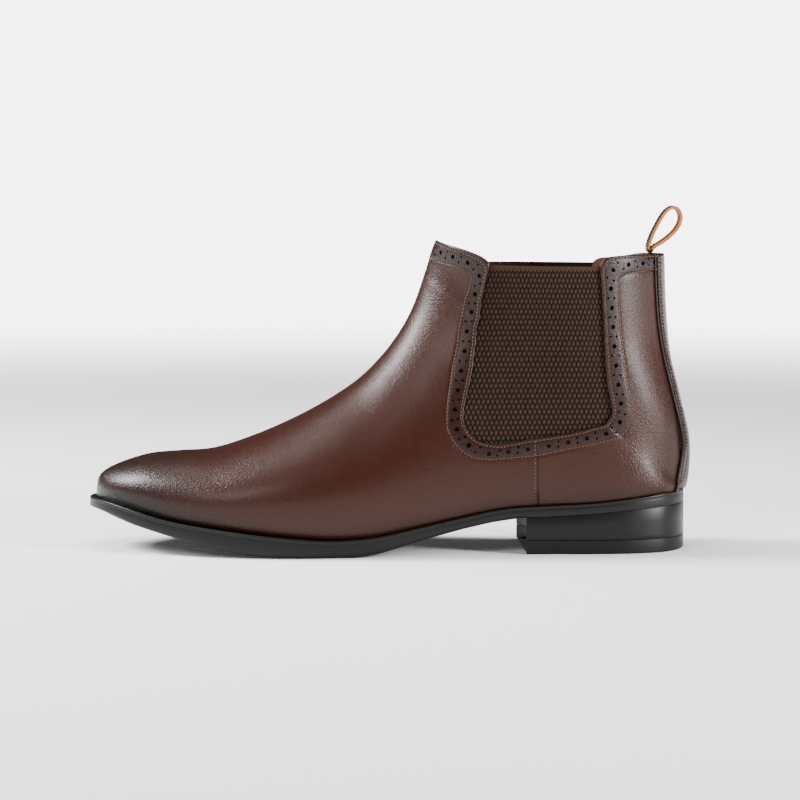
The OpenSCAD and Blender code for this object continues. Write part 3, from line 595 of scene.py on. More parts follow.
def burnish_and_shade_at(p):
    """Darkening of the upper leather by place: burnished toe and topline, and painted shade along the bottom where it
    meets the sole.
    """
    x, y, z = p[:, 0], p[:, 1], p[:, 2]
    toe = smoothstep(-70, -150, x) * 0.85
    foot = np.interp(x, ST[:, 2], ST[:, 3])
    # painted shade: darker over the lowest 9 mm, where the upper meets the sole
    painted_sole_shade = 0.35 * smoothstep(9, 1, z - foot)
    top = 0.45 * smoothstep(118, 158, z)
    return np.clip(toe + painted_sole_shade + top, 0, 1)

def eased(p, amount, rounds=90):
    """Smooth grid points in space inside the border, by a share per point."""
    p = p.copy()
    w = 0.8 * amount[1:-1, 1:-1, None]
    for _ in range(rounds):
        mean = 0.25 * (p[:-2, 1:-1] + p[2:, 1:-1] + p[1:-1, :-2] + p[1:-1, 2:])
        p[1:-1, 1:-1] += w * (mean - p[1:-1, 1:-1])
    return p

def heel_ease(u, a):
    """Where the turned-under heel edge runs into the upright back."""
    return smoothstep(3.4, 1.2, np.abs(u - 19.8)) * smoothstep(0.6, 1.1, a)

def solid_sheet(name, grids, ease=None):
    """Grids of (station, signed share, depth) joined into one skin."""
    b = Build()
    for u, s, d in grids:
        p = layer(u, s, d)
        if ease:
            p = eased(p, ease(u, np.abs(s)))
        b.add(p, grid_faces(*u.shape), 0, burnish_and_shade_at(p.reshape(-1, 3)))
    return b.object(name, [mat_upper], 0, 0.02)

def thicken(o, mm):
    mod = o.modifiers.new("thick", "SOLIDIFY")
    mod.thickness = mm * MM
    mod.offset = -1
    mod.use_even_offset = False
    return apply_modifiers(o)

def mesh_arrays(o):
    V = np.array([q.co for q in o.data.vertices]) / MM
    F = [tuple(p.vertices) for p in o.data.polygons]
    at = np.zeros(len(V), np.float32)
    o.data.attributes["burnish_and_shade"].data.foreach_get("value", at)
    return V, F, at

# ---------------------------------------------------------------- vamp
def corner_of(line, u_corner, share=None):
    """Index of the lower front corner of a line; that point is set to exactly u_corner."""
    k = int(np.argmin(np.abs(line[:, 0] - u_corner) + 10 * (np.arange(len(line)) < 150)))
    line = line.copy()
    line[k] = [u_corner, line[k, 1] if share is None else share]
    return line, k

U_C = 13.55
_line, _k = corner_of(FRONT[-1][0][:, 2:], U_C)
A_C = _line[_k, 1]

def relaxed(u, a, rounds=400):
    """Even out a grid between fixed borders, in (station, share) space."""
    g = np.stack([u * 8.0, a * 40.0], -1)
    for _ in range(rounds):
        g[1:-1, 1:-1] = 0.25 * (g[:-2, 1:-1] + g[2:, 1:-1] + g[1:-1, :-2] + g[1:-1, 2:])
    return g[..., 0] / 8.0, g[..., 1] / 40.0

def resample(grid, t):
    """Grid columns at shares t of the way across."""
    at = np.asarray(t) * (grid.shape[1] - 1)
    i = np.clip(np.floor(at).astype(int), 0, grid.shape[1] - 2)
    w = at - i
    return grid[:, i] * (1 - w) + grid[:, i + 1] * w

def ruled(a, b, t):
    """Rows of a grid, each from a to b at shares t."""
    return a[:, None] + (b - a)[:, None] * t

def seam_depth(u, a, ends):
    """Depth of the main leather, which sinks a little beside the stitch line it meets."""
    dist = np.linalg.norm(skin(u, a) - skin(ends[:, 0], ends[:, 1])[:, None], axis=-1)
    return 0.22 * smoothstep(1.8, 0.2, dist)

def vamp_main():
    grids = []
    fore = np.concatenate([np.linspace(0, 3, 37)[:-1], np.linspace(3, U_C, 96)])
    cols = np.concatenate([np.linspace(0, A_C, 40)[:-1], np.linspace(A_C, 2, 26)])
    for side in (-1, 1):
        line, corner = corner_of(FRONT[side][0][:, 2:], U_C, A_C)
        u, a = np.meshgrid(fore, cols, indexing="ij")
        grids.append((u, side * a, np.zeros_like(u)))
        # neck: from the ridge to the outer stitch line
        k = np.linspace(0, corner, 131).astype(int)[::-1]
        ends = line[k]
        ridge = np.linspace(U_C, 21.25, len(k))
        t = np.concatenate([np.linspace(0, 0.9, 34)[:-1], np.linspace(0.9, 1.0, 7)])
        u, a = ruled(ridge, ends[:, 0], t), ends[:, 1:] * t
        d = seam_depth(u, a, ends)
        d[0] = np.where(t < 0.999, 0, d[0])
        grids.append((u, side * a, d))
        # below the gore, down to the feather line
        k = np.linspace(corner, len(line) - 1, 60).astype(int)
        ends = line[k]
        foot_x = np.linspace(station(U_C)[2], SEAM_X, len(k))
        foot_u = np.interp(foot_x, _st[:, 2], _us)
        foot_u[0] = U_C
        t = (cols[39:] - A_C) / (2 - A_C)
        u, a = ruled(ends[:, 0], foot_u, t), ruled(ends[:, 1], 2, t)
        u[-1], a[-1] = seam_row(ends[-1], foot_u[-1], t)
        u, a = relaxed(u, a)
        grids.append((u, side * a, seam_depth(u, a, ends) * (np.arange(len(k)) > 0)[:, None]))
    return grids

def seam_row(top, foot_u, t):
    """The side seam: straight down in the side view."""
    p = skin(top[0], top[1])
    z = p[2] + (station(foot_u)[3] - p[2]) * t
    u, a = place(np.full(len(t), SEAM_X), z)
    u[0], a[0], u[-1], a[-1] = top[0], top[1], foot_u, 2
    return u, a

# share of the way along the rear band, and the station of the lower edge it faces
FACING = np.array([[0, 14.72], [0.1, 15.5], [0.2, 16.4], [0.3, 17.4], [0.4, 18.6], [0.48, 19.6], [0.56, 20.6],
                   [0.64, 21.6], [0.72, 22.6], [0.8, 23.6], [0.88, 24.5], [0.95, 25.3], [1.0, 25.72]])

def rear_main(side):
    track = REAR[side][0]
    k = np.linspace(0, len(track) - 1, 201).astype(int)
    ends = track[k][:, 2:]
    lower = np.interp(k / (len(track) - 1), FACING[:, 0], FACING[:, 1])
    lower[0] = np.interp(SEAM_X, _st[:, 2], _us)
    even = np.linspace(0, 1, 34)
    u, a = ruled(ends[:, 0], lower, even), ruled(ends[:, 1], 2, even)
    u[0], a[0] = seam_row(ends[0], lower[0], even)
    u, a = relaxed(u, a, 1500)
    t = np.concatenate([np.linspace(0, 0.1, 7)[:-1], np.linspace(0.1, 1, 44)])
    u, a = resample(u, t), resample(a, t)
    return u, a, seam_depth(u, a, ends)

def upper_piece(name, main, bands, threads, node):
    b = Build()
    V, F, burnish_and_shade = mesh_arrays(main)
    b.add(V, F, 0, burnish_and_shade)
    bpy.data.objects.remove(main)
    for V, F, wall in bands:
        b.add(V, F, np.where(wall, 1, 0), np.clip(0.55 + 0.45 * burnish_and_shade_at(V), 0, 1))
    for (V, F), mat in threads:
        b.add(V, F, mat)
    o = b.object(name, [mat_upper, mat_edge_and_seam_shade, mat_thread, mat_thread_dark], 42)
    return finish_piece(o, node)

def band_threads(track, side):
    """The stitch rows beside the fold and along the outer line of a band."""
    rows = []
    for t, depth in ((0.165, -0.14), (0.985, -0.02)):
        u, a = crossing(track, [t])
        rows.append((stitches(u[:, 0], side * a[:, 0], depth), 2))
    return rows

UPPER_T = 1.25
EASED = {}
front_main = thicken(solid_sheet("vamp_main", vamp_main()), UPPER_T)
bands, threads = [], []
for side, _ in SIDES:
    track, length = FRONT[side]
    bands.append(punched_band(track, length, side, 4.6, length - 5.5))
    threads += band_threads(track, side)
    # side seam: a row of stitches, and behind it a thin dark line for the cut edge of the leather, darkened as painted
    # shade of the seam's groove
    for z0, z1, deep in ((48.8, 25.6, -0.12), (57.6, 49.6, -0.34)):
        su, sa = place(np.full(50, SEAM_X - 1.6), np.linspace(z0, z1, 50))
        threads.append((stitches(su, side * sa, deep, 1.7), 2))
    su, sa = place(np.full(60, SEAM_X + 0.05), np.linspace(58.4, 25.2, 60))
    # painted shade: a thin dark tube on the seam line, in the cut-edge colour, stands for the groove
    threads.append((tube_along(layer(su, side * sa, -0.02), outward(su, side * sa), 0.24, 8), 1))
upper_piece("vamp_leather", front_main, bands, threads, "vamp")

for side, word in SIDES:
    u, a, d = rear_main(side)
    track, length = REAR[side]
    sheet = solid_sheet("rear_main", [(u, side * a, d)], ease=heel_ease)
    EASED[side] = BVHTree.FromPolygons(*[list(q) for q in mesh_arrays(sheet)[:2]])
    piece = punched_band(track, length, side, 5.2, length - 5.0)
    upper_piece(f"quarter_leather_{word}", thicken(sheet, UPPER_T), [piece], band_threads(track, side),
                f"quarter_{word}")

# ---------------------------------------------------------------- elastic gores
GORE_FRONT = np.array([[41, 53], [34.5, 61], [31, 72], [32.6, 86], [35.4, 100], [37, 114], [39.8, 127],
                       [42.6, 135], [44.6, 143.6]])
GORE_REAR = np.array([[115, 60.6], [117.6, 67], [117.2, 77], [115.6, 90], [114.4, 102], [113, 114],
                      [112, 126], [111.4, 135], [110.6, 143.4]])

def gore(side, word):
    rows, cols = 245, 330
    f, r = spline(GORE_FRONT, rows), spline(GORE_REAR, rows)
    t = np.linspace(0, 1, cols)
    xz = f[:, None] + (r - f)[:, None] * t[None, :, None]
    u, a = place(xz[..., 0], xz[..., 1])
    wide = np.interp(xz[..., 1], [60, 95, 143], [2.38, 2.26, 2.0])
    row = np.floor(xz[..., 1] / 2.6)
    fz = xz[..., 1] / 2.6 - row - 0.5
    cx = (xz[..., 0] - 77) / wide + 0.5 * (row % 2)
    fx = cx - np.floor(cx) - 0.5
    oval = (np.abs(fx) / 0.40) ** 2.2 + (np.abs(fz) / 0.50) ** 2.6
    bead = np.clip(1 - oval, 0, 1) ** 0.5
    top = smoothstep(141.2, 141.9, xz[..., 1])
    bead = bead * (1 - top) + 0.85 * top
    out = layer(u, side * a, D_MID + 0.28 - 0.5 * bead)
    inn = layer(u, side * a, D_MID + MIDDLE + 0.05)
    end = rim(144.0 - xz[..., 1], 0.7)[..., None]
    mid = (out + inn) / 2
    out, inn = out * (1 - end) + mid * end, inn * (1 - end) + mid * end
    v, fc = slab(out, inn)
    b = Build()
    # the bead mask also sets the colour: near-black gaps, partly painted shade
    burnish_and_shade = np.concatenate([bead.ravel(), np.full(bead.size, 0.35)])
    b.add(v, fc, 0, burnish_and_shade)
    o = b.object(f"gore_elastic_{word}", [mat_gore], 0)
    return finish_piece(o, f"gore_{word}")

for side, word in SIDES:
    gore(side, word)

# ---------------------------------------------------------------- linings, smooth
def lining_sheet(name, grids, node):
    b = Build()
    for u, s in grids:
        v, f = slab(layer(u, s, D_LIN), layer(u, s, D_IN))
        # painted shade: the lining darkens towards its bottom, deep inside the boot
        b.add(v, f, 0, 0.15 + 0.5 * smoothstep(60, 10, v[:, 2]))
    o = b.object(name, [mat_lining], 40)
    return finish_piece(o, node)

def lining_edge(track):
    """The lining is trimmed a little below the folded edge."""
    return track[:, :2] + 0.08 * (track[:, 2:] - track[:, :2])

grids = []
for side, _ in SIDES:
    edge, at = corner_of(lining_edge(FRONT[side][0]), 14.25)
    uc = edge[at, 0]
    u, a = np.meshgrid(np.linspace(0, uc, 60), np.linspace(0, 2, 40), indexing="ij")
    grids.append((u, side * a))
    k = np.linspace(at, 0, 70).astype(int)
    t = np.linspace(0, 1, 22)
    grids.append((ruled(np.linspace(uc, edge[0, 0], len(k)), edge[k, 0], t), side * edge[k, 1:] * t))
    k = np.linspace(at, len(edge) - 1, 24).astype(int)
    t = np.linspace(0, 1, 16)
    grids.append((ruled(edge[k, 0], np.linspace(uc, 14.72, len(k)), t), side * ruled(edge[k, 1], 2, t)))
lining_sheet("lining_front", grids, "lining_vamp")
for side, word in SIDES:
    edge = lining_edge(REAR[side][0])
    k = np.linspace(0, len(edge) - 1, 90).astype(int)
    lower = np.interp(k / (len(edge) - 1), FACING[:, 0], FACING[:, 1] + 0.28 * (FACING[:, 1] > 25.5))
    t = np.linspace(0, 1, 30)
    lining_sheet(f"lining_rear_{word}", [(ruled(edge[k, 0], lower, t), side * ruled(edge[k, 1], 2, t))],
                 f"lining_quarter_{word}")

# ---------------------------------------------------------------- back strip and piping
fine = spline(STRIP_EDGE, 160, by=[0, 1])
SETTLE_Z = 38.5

def on_leather(p, side, share=1.0):
    """Shift of each point on the plain skin that lays it on the eased rear leather, near the heel only."""
    shift = np.zeros_like(p)
    near = smoothstep(54, 46, p[..., 2]) * share
    for k in np.ndindex(p.shape[:-1]):
        if near[k] > 0:
            hit = EASED[side].find_nearest(Vector(p[k]))[0]
            shift[k] = near[k] * (np.array(hit) - p[k])
    return shift

def settled(u, a):
    """Carry a rear line smoothly down to the feather line: below SETTLE_Z it follows a height and a half width."""
    u, a = u.copy(), a.copy()
    p = skin(u, a)
    k = int(np.argmax(p[:, 2] > SETTLE_Z))
    slope = (p[k + 3, 1] - p[k, 1]) / (p[k + 3, 2] - p[k, 2])
    drop = p[:k, 2] - p[k, 2]
    want = np.stack([p[k, 1] + slope * drop + 0.018 * drop ** 2, p[:k, 2]], -1)
    step = 1e-4
    for i in range(k - 1, -1, -1):
        x = np.array([u[i + 1], a[i + 1]])
        for _ in range(30):
            here = skin(x[:1], x[1:])[0, 1:]
            jac = np.stack([(skin(x[:1] + step, x[1:])[0, 1:] - here) / step,
                            (skin(x[:1], x[1:] - step)[0, 1:] - here) / -step], -1)
            x = x + np.clip(np.linalg.solve(jac, want[i] - here), -0.1, 0.1)
            x[1] = min(x[1], 1.99)
        u[i], a[i] = x
    return u, a

su, sa = settled(*place(fine[:, 0], fine[:, 1]))
across = np.concatenate([[0, 0.01, 0.03, 0.07, 0.14], np.linspace(0.25, 1, 14)])
b = Build()
for side in (-1, 1):
    u, a = ruled(su, fine[:, 2], across), ruled(sa, 2, across)
    p = skin(u, side * a)
    dist = np.linalg.norm(p - p[:, :1], axis=-1)
    fold = rim(dist, 0.7)
    high = -1.25 - 0.15 * smoothstep(1, 6, dist)
    top = rim(np.linalg.norm(p - p[-1:], axis=-1), 0.7)
    fold = np.maximum(fold, top)
    shift = on_leather(p, side, smoothstep(10, 2, dist))
    out = layer(u, side * a, high * (1 - fold) - 0.65 * fold) + shift
    inn = layer(u, side * a, -0.08 * (1 - fold) - 0.65 * fold) + shift
    v, f = slab(out, inn)
    b.add(v, f, 0, 0.1 + 0.5 * np.concatenate([smoothstep(1.4, 0.2, dist).ravel()] * 2))
for side in (-1, 1):
    lu = su + (fine[:, 2] - su) * 0.13
    la = sa + (2 - sa) * 0.13
    v, f = stitches(lu[3:-2], side * la[3:-2], -1.3, 1.8, r=0.2)
    b.add(v, f, 1)
finish_piece(b.object("back_strip_leather", [mat_strip, mat_thread_dark], 40, 0.02), "back_strip")
for side, word in SIDES:
    pu, pa = settled(*place(fine[:, 0] - 1.05, fine[:, 1]))
    rad = np.interp(fine[:, 1], [30, 75, 110, 149], [0.85, 0.8, 0.62, 0.5])
    path = layer(pu, side * pa, 0.1 - rad) + on_leather(skin(pu, side * pa), side)
    v, f = tube_along(path, outward(pu, side * pa), rad, 14)
    b = Build()
    b.add(v, f, 0, 0)
    finish_piece(b.object(f"piping_cord_{word}", [mat_piping], 50), f"piping_{word}")

# ---------------------------------------------------------------- sole, heel and top lift
SOLE_LOW = np.array([
    [-160, 19.6], [-153.5, 18.8], [-146, 18], [-134, 15.6], [-122, 12.6], [-109, 9.4], [-96, 6.4], [-84, 3.8],
    [-73, 1.9], [-62, 0.7], [-50, 0.1], [-42, 0], [-16, 0], [-9, 0.7], [0, 2.8], [10, 5.6], [24, 9.6],
    [38, 13.2], [52, 16.2], [66, 18.2], [82, 19.1], [102, 20.2], [122, 22], [140, 23.4], [160, 24.6]])

def z_low(x):
    """Underside of the sole, the CAD's profile with its corners eased upward only."""
    k = np.linspace(-2.5, 2.5, 11)
    base = np.interp(x, SOLE_LOW[:, 0], SOLE_LOW[:, 1])
    eased = np.mean([np.interp(x + d, SOLE_LOW[:, 0], SOLE_LOW[:, 1]) for d in k], axis=0)
    return np.maximum(base, eased)

def z_top(x):
    return np.interp(x, _st[:, 2], _st[:, 3]) - GAP

RIM_POINTS = 420

def plan_loop(extra):
    """Closed plan loop of the sole edge, moved outward by its rim width plus extra, and its outward directions."""
    n = RIM_POINTS
    x = np.concatenate([np.linspace(0, 3, n // 5, endpoint=False), np.linspace(3, 17, n // 2, endpoint=False),
                        np.linspace(17, 20, n // 4)])
    s = station(x)
    lat, med = (np.stack([s[:, 2], KY * (side * low_half(s, x, side) + drift(s[:, 2]))], -1) for side in (-1, 1))
    loop = np.vstack([lat, med[-2:0:-1]])
    width = np.concatenate([s[:, 10], s[-2:0:-1, 10]])
    # round the back centre
    back = 0.5 * smoothstep(136, 146, loop[:, 0])[:, None]
    for _ in range(160):
        loop = loop + back * (0.5 * (np.roll(loop, 1, 0) + np.roll(loop, -1, 0)) - loop)
    d = np.roll(loop, -1, 0) - np.roll(loop, 1, 0)
    nrm = unit(np.stack([d[:, 1], -d[:, 0]], -1))
    if (nrm[n // 3] @ (loop[n // 3] - loop.mean(0))) < 0:
        nrm = -nrm
    for _ in range(3):
        nrm = unit(nrm + 0.5 * (np.roll(nrm, 1, 0) + np.roll(nrm, -1, 0)))
    return loop + (width + extra)[:, None] * nrm, nrm

def outsole():
    base, nrm = plan_loop(0.0)
    count = len(base)
    half = (count + 2) // 2
    x = base[:, 0]
    top, low = z_top(x), z_low(x)
    h = top - low
    # outward offset, height: share of wall from the bottom, and fixed mm
    profile = [(-5.5, 1.0, 0.0), (-2.6, 1.0, 0.0), (-1.9, 1.0, 0.02), (-1.5, 1.0, 0.32), (-0.95, 1.0, 0.42),
               (-0.4, 1.0, 0.36), (-0.12, 1.0, 0.12), (0.0, 1.0, -0.35), (-0.06, 1.0, -0.8), (-0.16, 1.0, -1.15),
               (-0.10, 1.0, -1.6), (-0.04, 0.66, 0.0), (0.0, 0.5, 0.0), (-0.03, 0.34, 0.0), (-0.12, 0.0, 1.5),
               (-0.3, 0.0, 0.9), (-0.62, 0.0, 0.42), (-1.05, 0.0, 0.12), (-1.6, 0.0, 0.0), (-3.2, 0.0, 0.0)]
    rings = []
    tip = smoothstep(-128, -150, x)
    sharp = 1 - 0.9 * smoothstep(64, 74, x)
    for off, share, mm in profile:
        if share == 0:
            off, mm = off * sharp if off > -2 else off, mm * sharp
        extra = np.where(share == 0, -1.6 * tip * (1 if np.max(mm) < 1.4 else 0.3), 0)
        lift = np.where(share == 0, 0.9 * tip * (1 if np.max(mm) < 1.4 else 0.5), 0)
        lipfade = 1.0 if share < 1 or mm <= 0.05 else (1 - 0.85 * smoothstep(55, 70, x))
        rings.append(np.column_stack([base + (off + extra)[:, None] * nrm,
                                      low + h * share + mm * lipfade + lift]))
    V = np.vstack(rings)
    F = [tuple(q) for q in grid_faces(len(profile), count, wrap_m=True)]
    # caps: strips between the two sides
    def cap(ring, o, flip, groove):
        lat = np.arange(0, half)
        med = np.concatenate([[0], np.arange(count - 1, half - 1, -1), [half - 1]])
        m = 30
        t = np.linspace(0, 1, m)
        A, B = ring[lat], ring[med[:half]]
        P = A[:, None] * (1 - t)[None, :, None] + B[:, None] * t[None, :, None]
        if groove:
            inset = np.minimum(*(np.linalg.norm(P - e[:, None], axis=-1) for e in (A, B)))
            zone = smoothstep(7, 9, inset) * smoothstep(-138, -132, P[..., 0]) * smoothstep(-6, -12, P[..., 0])
            line = 1 - smoothstep(0.5, 1.1, np.abs((P[..., 0] + 200 + 0.006 * (P[..., 1]) ** 2) % 7.0 - 3.5))
            P[..., 2] += 0.55 * zone * line
            zone2 = (np.abs(inset - 5.2) < 0.9) * smoothstep(62, 58, P[..., 0])
            P[..., 2] += 0.3 * zone2
        inner = P[:, 1:-1].reshape(-1, 3)
        idx = np.empty((half, m), int)
        idx[:, 0], idx[:, -1] = o + lat, o + med[:half]
        idx[:, 1:-1] = len_v[0] + np.arange(inner.shape[0]).reshape(half, m - 2)
        len_v[0] += inner.shape[0]
        q = np.stack([idx[:-1, :-1], idx[1:, :-1], idx[1:, 1:], idx[:-1, 1:]], -1).reshape(-1, 4)
        return inner, [tuple(k[::-1] if flip else k) for k in q]
    len_v = [len(V)]
    i1, f1 = cap(rings[0], 0, True, False)
    i2, f2 = cap(rings[-1], (len(profile) - 1) * count, False, True)
    b = Build()
    b.add(np.vstack([V, i1, i2]), F + f1 + f2, 0)
    o = b.object("outsole_rubber", [mat_rubber], 38, 0.004)
    return finish_piece(o, "outsole")

def heel_loop(extra):
    """Closed plan loop of the heel: round the back, then the concave breast."""
    base, _ = plan_loop(extra)
    cx, cy, r = 17.4, -3.5 * KY, 60.0
    side = np.hypot(base[:, 0] - cx, base[:, 1] - cy)
    keep = (side > r) & (base[:, 0] > 20)
    ids = np.where(keep)[0]
    run = base[ids[0]:ids[-1] + 1]

    def edge(p, q):
        t = np.linspace(0, 1, 400)[:, None]
        l = p + (q - p) * t
        k = np.argmin(np.abs(np.hypot(l[:, 0] - cx, l[:, 1] - cy) - r))
        return l[k]
    a0 = edge(base[ids[0] - 1], base[ids[0]])
    a1 = edge(base[ids[-1]], base[(ids[-1] + 1) % len(base)])
    ang0, ang1 = math.atan2(a1[1] - cy, a1[0] - cx), math.atan2(a0[1] - cy, a0[0] - cx)
    ang = np.linspace(ang0, ang1, 60)
    arc = np.stack([cx + r * np.cos(ang), cy + r * np.sin(ang)], -1)
    return np.vstack([run, arc])

def loop_normals(loop):
    """Outward plan directions; a corner gets the mean of its two sides."""
    d1 = loop - np.roll(loop, 1, 0)
    d2 = np.roll(loop, -1, 0) - loop
    d1 /= np.linalg.norm(d1, axis=1, keepdims=True) + 1e-9
    d2 /= np.linalg.norm(d2, axis=1, keepdims=True) + 1e-9
    d = d1 + d2
    nrm = unit(np.stack([d[:, 1], -d[:, 0]], -1))
    area = 0.5 * np.sum(loop[:, 0] * np.roll(loop[:, 1], -1) - loop[:, 1] * np.roll(loop[:, 0], -1))
    return nrm if area > 0 else -nrm

def block(name, loop, profile, mat):
    """Wall round a plan loop, closed top and bottom. Profile rows: outward offset, share of the sole's height, mm."""
    nrm = loop_normals(loop)
    rings = [np.column_stack([loop + off * nrm, share * z_low(loop[:, 0]) + mm]) for off, share, mm in profile]
    b = Build()
    b.add(np.vstack(rings), capped(len(rings), len(loop)))
    return b.object(name, [mat], 38, 0.002)

outsole()
LIFT = 7.0
lift_loop = heel_loop(0.0)
heel = block("heel_block_moulded", heel_loop(-0.2),
             [(-0.25, 0, LIFT + 0.1), (0.1, 0, LIFT + 0.12), (0.18, 0, LIFT + 0.25), (0.18, 0, LIFT + 2.2),
              (0.18, 0.55, 3), (0.18, 1, -0.3), (0.12, 1, -0.16), (-0.1, 1, -0.1)],
             mat_heel)
finish_piece(heel, "heel_block")
lift = block("top_lift_rubber", lift_loop,
             [(-0.8, 0, 0), (-0.3, 0, 0.12), (-0.08, 0, 0.4), (0, 0, 1.0), (0, 0, LIFT - 0.4), (-0.04, 0, LIFT - 0.12),
              (-0.25, 0, LIFT - 0.02)],
             mat_lift)
PINS = [[84, -20], [84, 20], [104, -23], [104, 23], [124, -20], [124, 20], [140, 0]]
PIN_HOLE_R = 1.9
ang, pairs = circle(28), []
for px, py in PINS:
    ring = np.stack([px + PIN_HOLE_R * np.cos(ang), KY * py + PIN_HOLE_R * np.sin(ang)], -1)
    pairs.append([np.column_stack([ring, np.full(28, z)]) for z in (-1.0, 1.35)])
boolean_cut(lift, make("pin_holes", *prisms(pairs), [], smooth=0))
shade(lift.data, 38)
finish_piece(lift, "top_lift")

# ---------------------------------------------------------------- inside of the bottom
def foot_sheet(name, inset, lo, hi, z0, z1, mat, node, crown=0.0):
    """A flat inner piece that follows the bottom of the foot, between two heights over the feather line."""
    n, m = 150, 28
    us = np.interp(np.linspace(lo, hi, n), _st[:, 2], _us)
    s = station(us)
    t = np.linspace(-1, 1, m)
    x = s[:, 2]
    t_in = np.clip(np.minimum(x - lo, hi - x) / 9.0, 0, 1)
    shrink = np.sqrt(np.clip(1 - (1 - t_in) ** 2, 0, 1))
    yl = -np.maximum(s[:, 7] * KY - inset, 0.3) * (0.35 + 0.65 * shrink)
    ym = np.maximum(s[:, 8] * KY - inset, 0.3) * (0.35 + 0.65 * shrink)
    y = np.where(t[None] < 0, -yl[:, None] * t[None], ym[:, None] * t[None]) + KY * drift(x)[:, None]
    edge = 1 - np.abs(t)[None] ** 6
    raise_top = z1(x)[:, None] + crown * edge
    top = np.stack([np.broadcast_to(x[:, None], y.shape), y, s[:, 3][:, None] + raise_top], -1)
    low = np.stack([np.broadcast_to(x[:, None], y.shape), y, s[:, 3][:, None] + z0(x)[:, None] + 0 * y], -1)
    v, f = slab(top, low)
    b = Build()
    # painted shade: the sheet's mask darkens it towards both sides, where it meets the walls (the sock liner's leather
    # reads it)
    b.add(v, f, 0, np.concatenate([0.3 * (np.abs(t)[None] ** 4 + 0 * y).ravel()] * 2))
    o = b.object(name, [mat], 40)
    return finish_piece(o, node)

def pad_rise(x):
    return 3 * np.clip((x - 62) / 30, 0, 1)

inset = D_IN + 0.6
foot_sheet("sock_liner_leather", inset + 0.7, -145.5, 147, lambda x: 2.75 + pad_rise(x),
           lambda x: 3.75 + pad_rise(x), mat_sock, "sock_liner")
pad = foot_sheet("heel_pad_foam", inset + 1.4, 62.5, 144, lambda x: 2.2 + 0 * x,
                 lambda x: 2.35 + pad_rise(x), mat_foam, "heel_pad", 0.18)

# ---------------------------------------------------------------- pull loop
LOOP_T, LOOP_W, LOOP_H = 1.8, 12.0, 24.0
HINGE = np.array([138 - D_IN - 0.4 - LOOP_T, 149.2 + LOOP_T + 0.2])
DROP = np.array([[-0.8, 0], [-0.8, 0.07], [-0.1, 0.2], [1.6, 0.4], [4.1, 0.63], [6.6, 0.83], [9, 0.95], [11.4, 1],
                 [13.7, 0.96], [15.1, 0.84], [15.2, 0.69], [13.5, 0.5], [10, 0.32], [6.2, 0.18], [2.7, 0.08],
                 [0.8, 0]])
DROP = DROP * [1, LOOP_H - 1.5 * LOOP_T - 0.2]
line = spline(DROP, 150)
tangent = unit(np.gradient(line, axis=0))
out_dir = np.stack([-tangent[:, 1], tangent[:, 0]], -1)
# section: (y, outward) with slightly rounded edges, outer face first
W, T = LOOP_W / 2, LOOP_T / 2 - 0.03
section = ([(y, T) for y in np.linspace(-W + 0.35, W - 0.35, 12)]
           + [(W - 0.08, T - 0.14), (W, T - 0.32), (W, 0.0), (W, -T + 0.32), (W - 0.08, -T + 0.14)]
           + [(y, -T) for y in np.linspace(W - 0.35, -W + 0.35, 12)]
           + [(-W + 0.08, -T + 0.14), (-W, -T + 0.32), (-W, 0.0), (-W, T - 0.32), (-W + 0.08, T - 0.14)])
sec = np.array(section)
V = np.empty((len(line), len(sec), 3))
V[..., 0] = HINGE[0] + line[:, None, 0] + out_dir[:, None, 0] * sec[None, :, 1]
V[..., 1] = sec[None, :, 0]
V[..., 2] = HINGE[1] + line[:, None, 1] + out_dir[:, None, 1] * sec[None, :, 1]
F = [tuple(q) for q in grid_faces(len(line), len(sec), wrap_m=True)]
ends = [tuple(range(len(sec))), tuple(range((len(line) - 1) * len(sec), len(line) * len(sec)))[::-1]]
col = np.tile(np.arange(len(sec)), len(line) - 1)
mat_of = np.where((col < 13) | (col >= len(sec) - 2) | (col == 15) | (col == 28), 0, 1)
b = Build()
b.add(V.reshape(-1, 3), F + ends, np.concatenate([mat_of, [1, 1]]), 0.3)
# rolled seam at the foot of the loop
ang = circle(24)
ys = np.array([-W + 0.02, -W + 0.3, *np.linspace(-W + 0.8, W - 0.8, 8), W - 0.3, W - 0.02])
rr = LOOP_T * np.array([0.86, 0.97, *([1.0] * 8), 0.97, 0.86])
tube = np.stack([HINGE[0] + rr[:, None] * np.cos(ang), np.broadcast_to(ys[:, None], (12, 24)),
                 HINGE[1] + rr[:, None] * np.sin(ang)], -1)
b.add(tube.reshape(-1, 3), capped(12, 24), 0, 0.5)
loop = b.object("pull_loop_strap", [mat_loop_face, mat_loop_edge], 38)
finish_piece(loop, "pull_loop", body="loop")

tail_u = np.linspace(25.05, 26, 40)
tail_s = []
for u0 in tail_u:
    a0 = np.linspace(1.2, 2, 400)
    y0 = np.abs(skin(np.full(400, u0), a0)[:, 1])
    tail_s.append(a0[np.argmin(np.abs(y0 - KY * LOOP_W / 2))])
tail_s = np.array(tail_s)
b = Build()
tt = np.linspace(0, 1, 12)
for side in (-1, 1):
    a = ruled(tail_s, 2, tt)
    u = np.broadcast_to(tail_u[:, None], a.shape)
    p = skin(u, a)
    fold = np.maximum(rim(np.linalg.norm(p - p[:, :1], axis=-1), 0.6), rim(np.linalg.norm(p - p[:1], axis=-1), 0.6))
    thick = 2 * LOOP_T * 0.8
    d_in = D_IN + 0.1 + thick * (1 - 0.35 * fold)
    v, f = slab(layer(u, side * a, D_IN + 0.1), layer(u, side * a, d_in))
    b.add(v, f, 0, 0.3)
    line_u = np.linspace(25.12, 25.93, 40)
    v, f = stitches(line_u, side * np.interp(line_u, tail_u, tail_s + 0.25 * (2 - tail_s)), D_IN + thick + 0.05, 2.0,
                    rise=-0.1)
    b.add(v, f, 1)
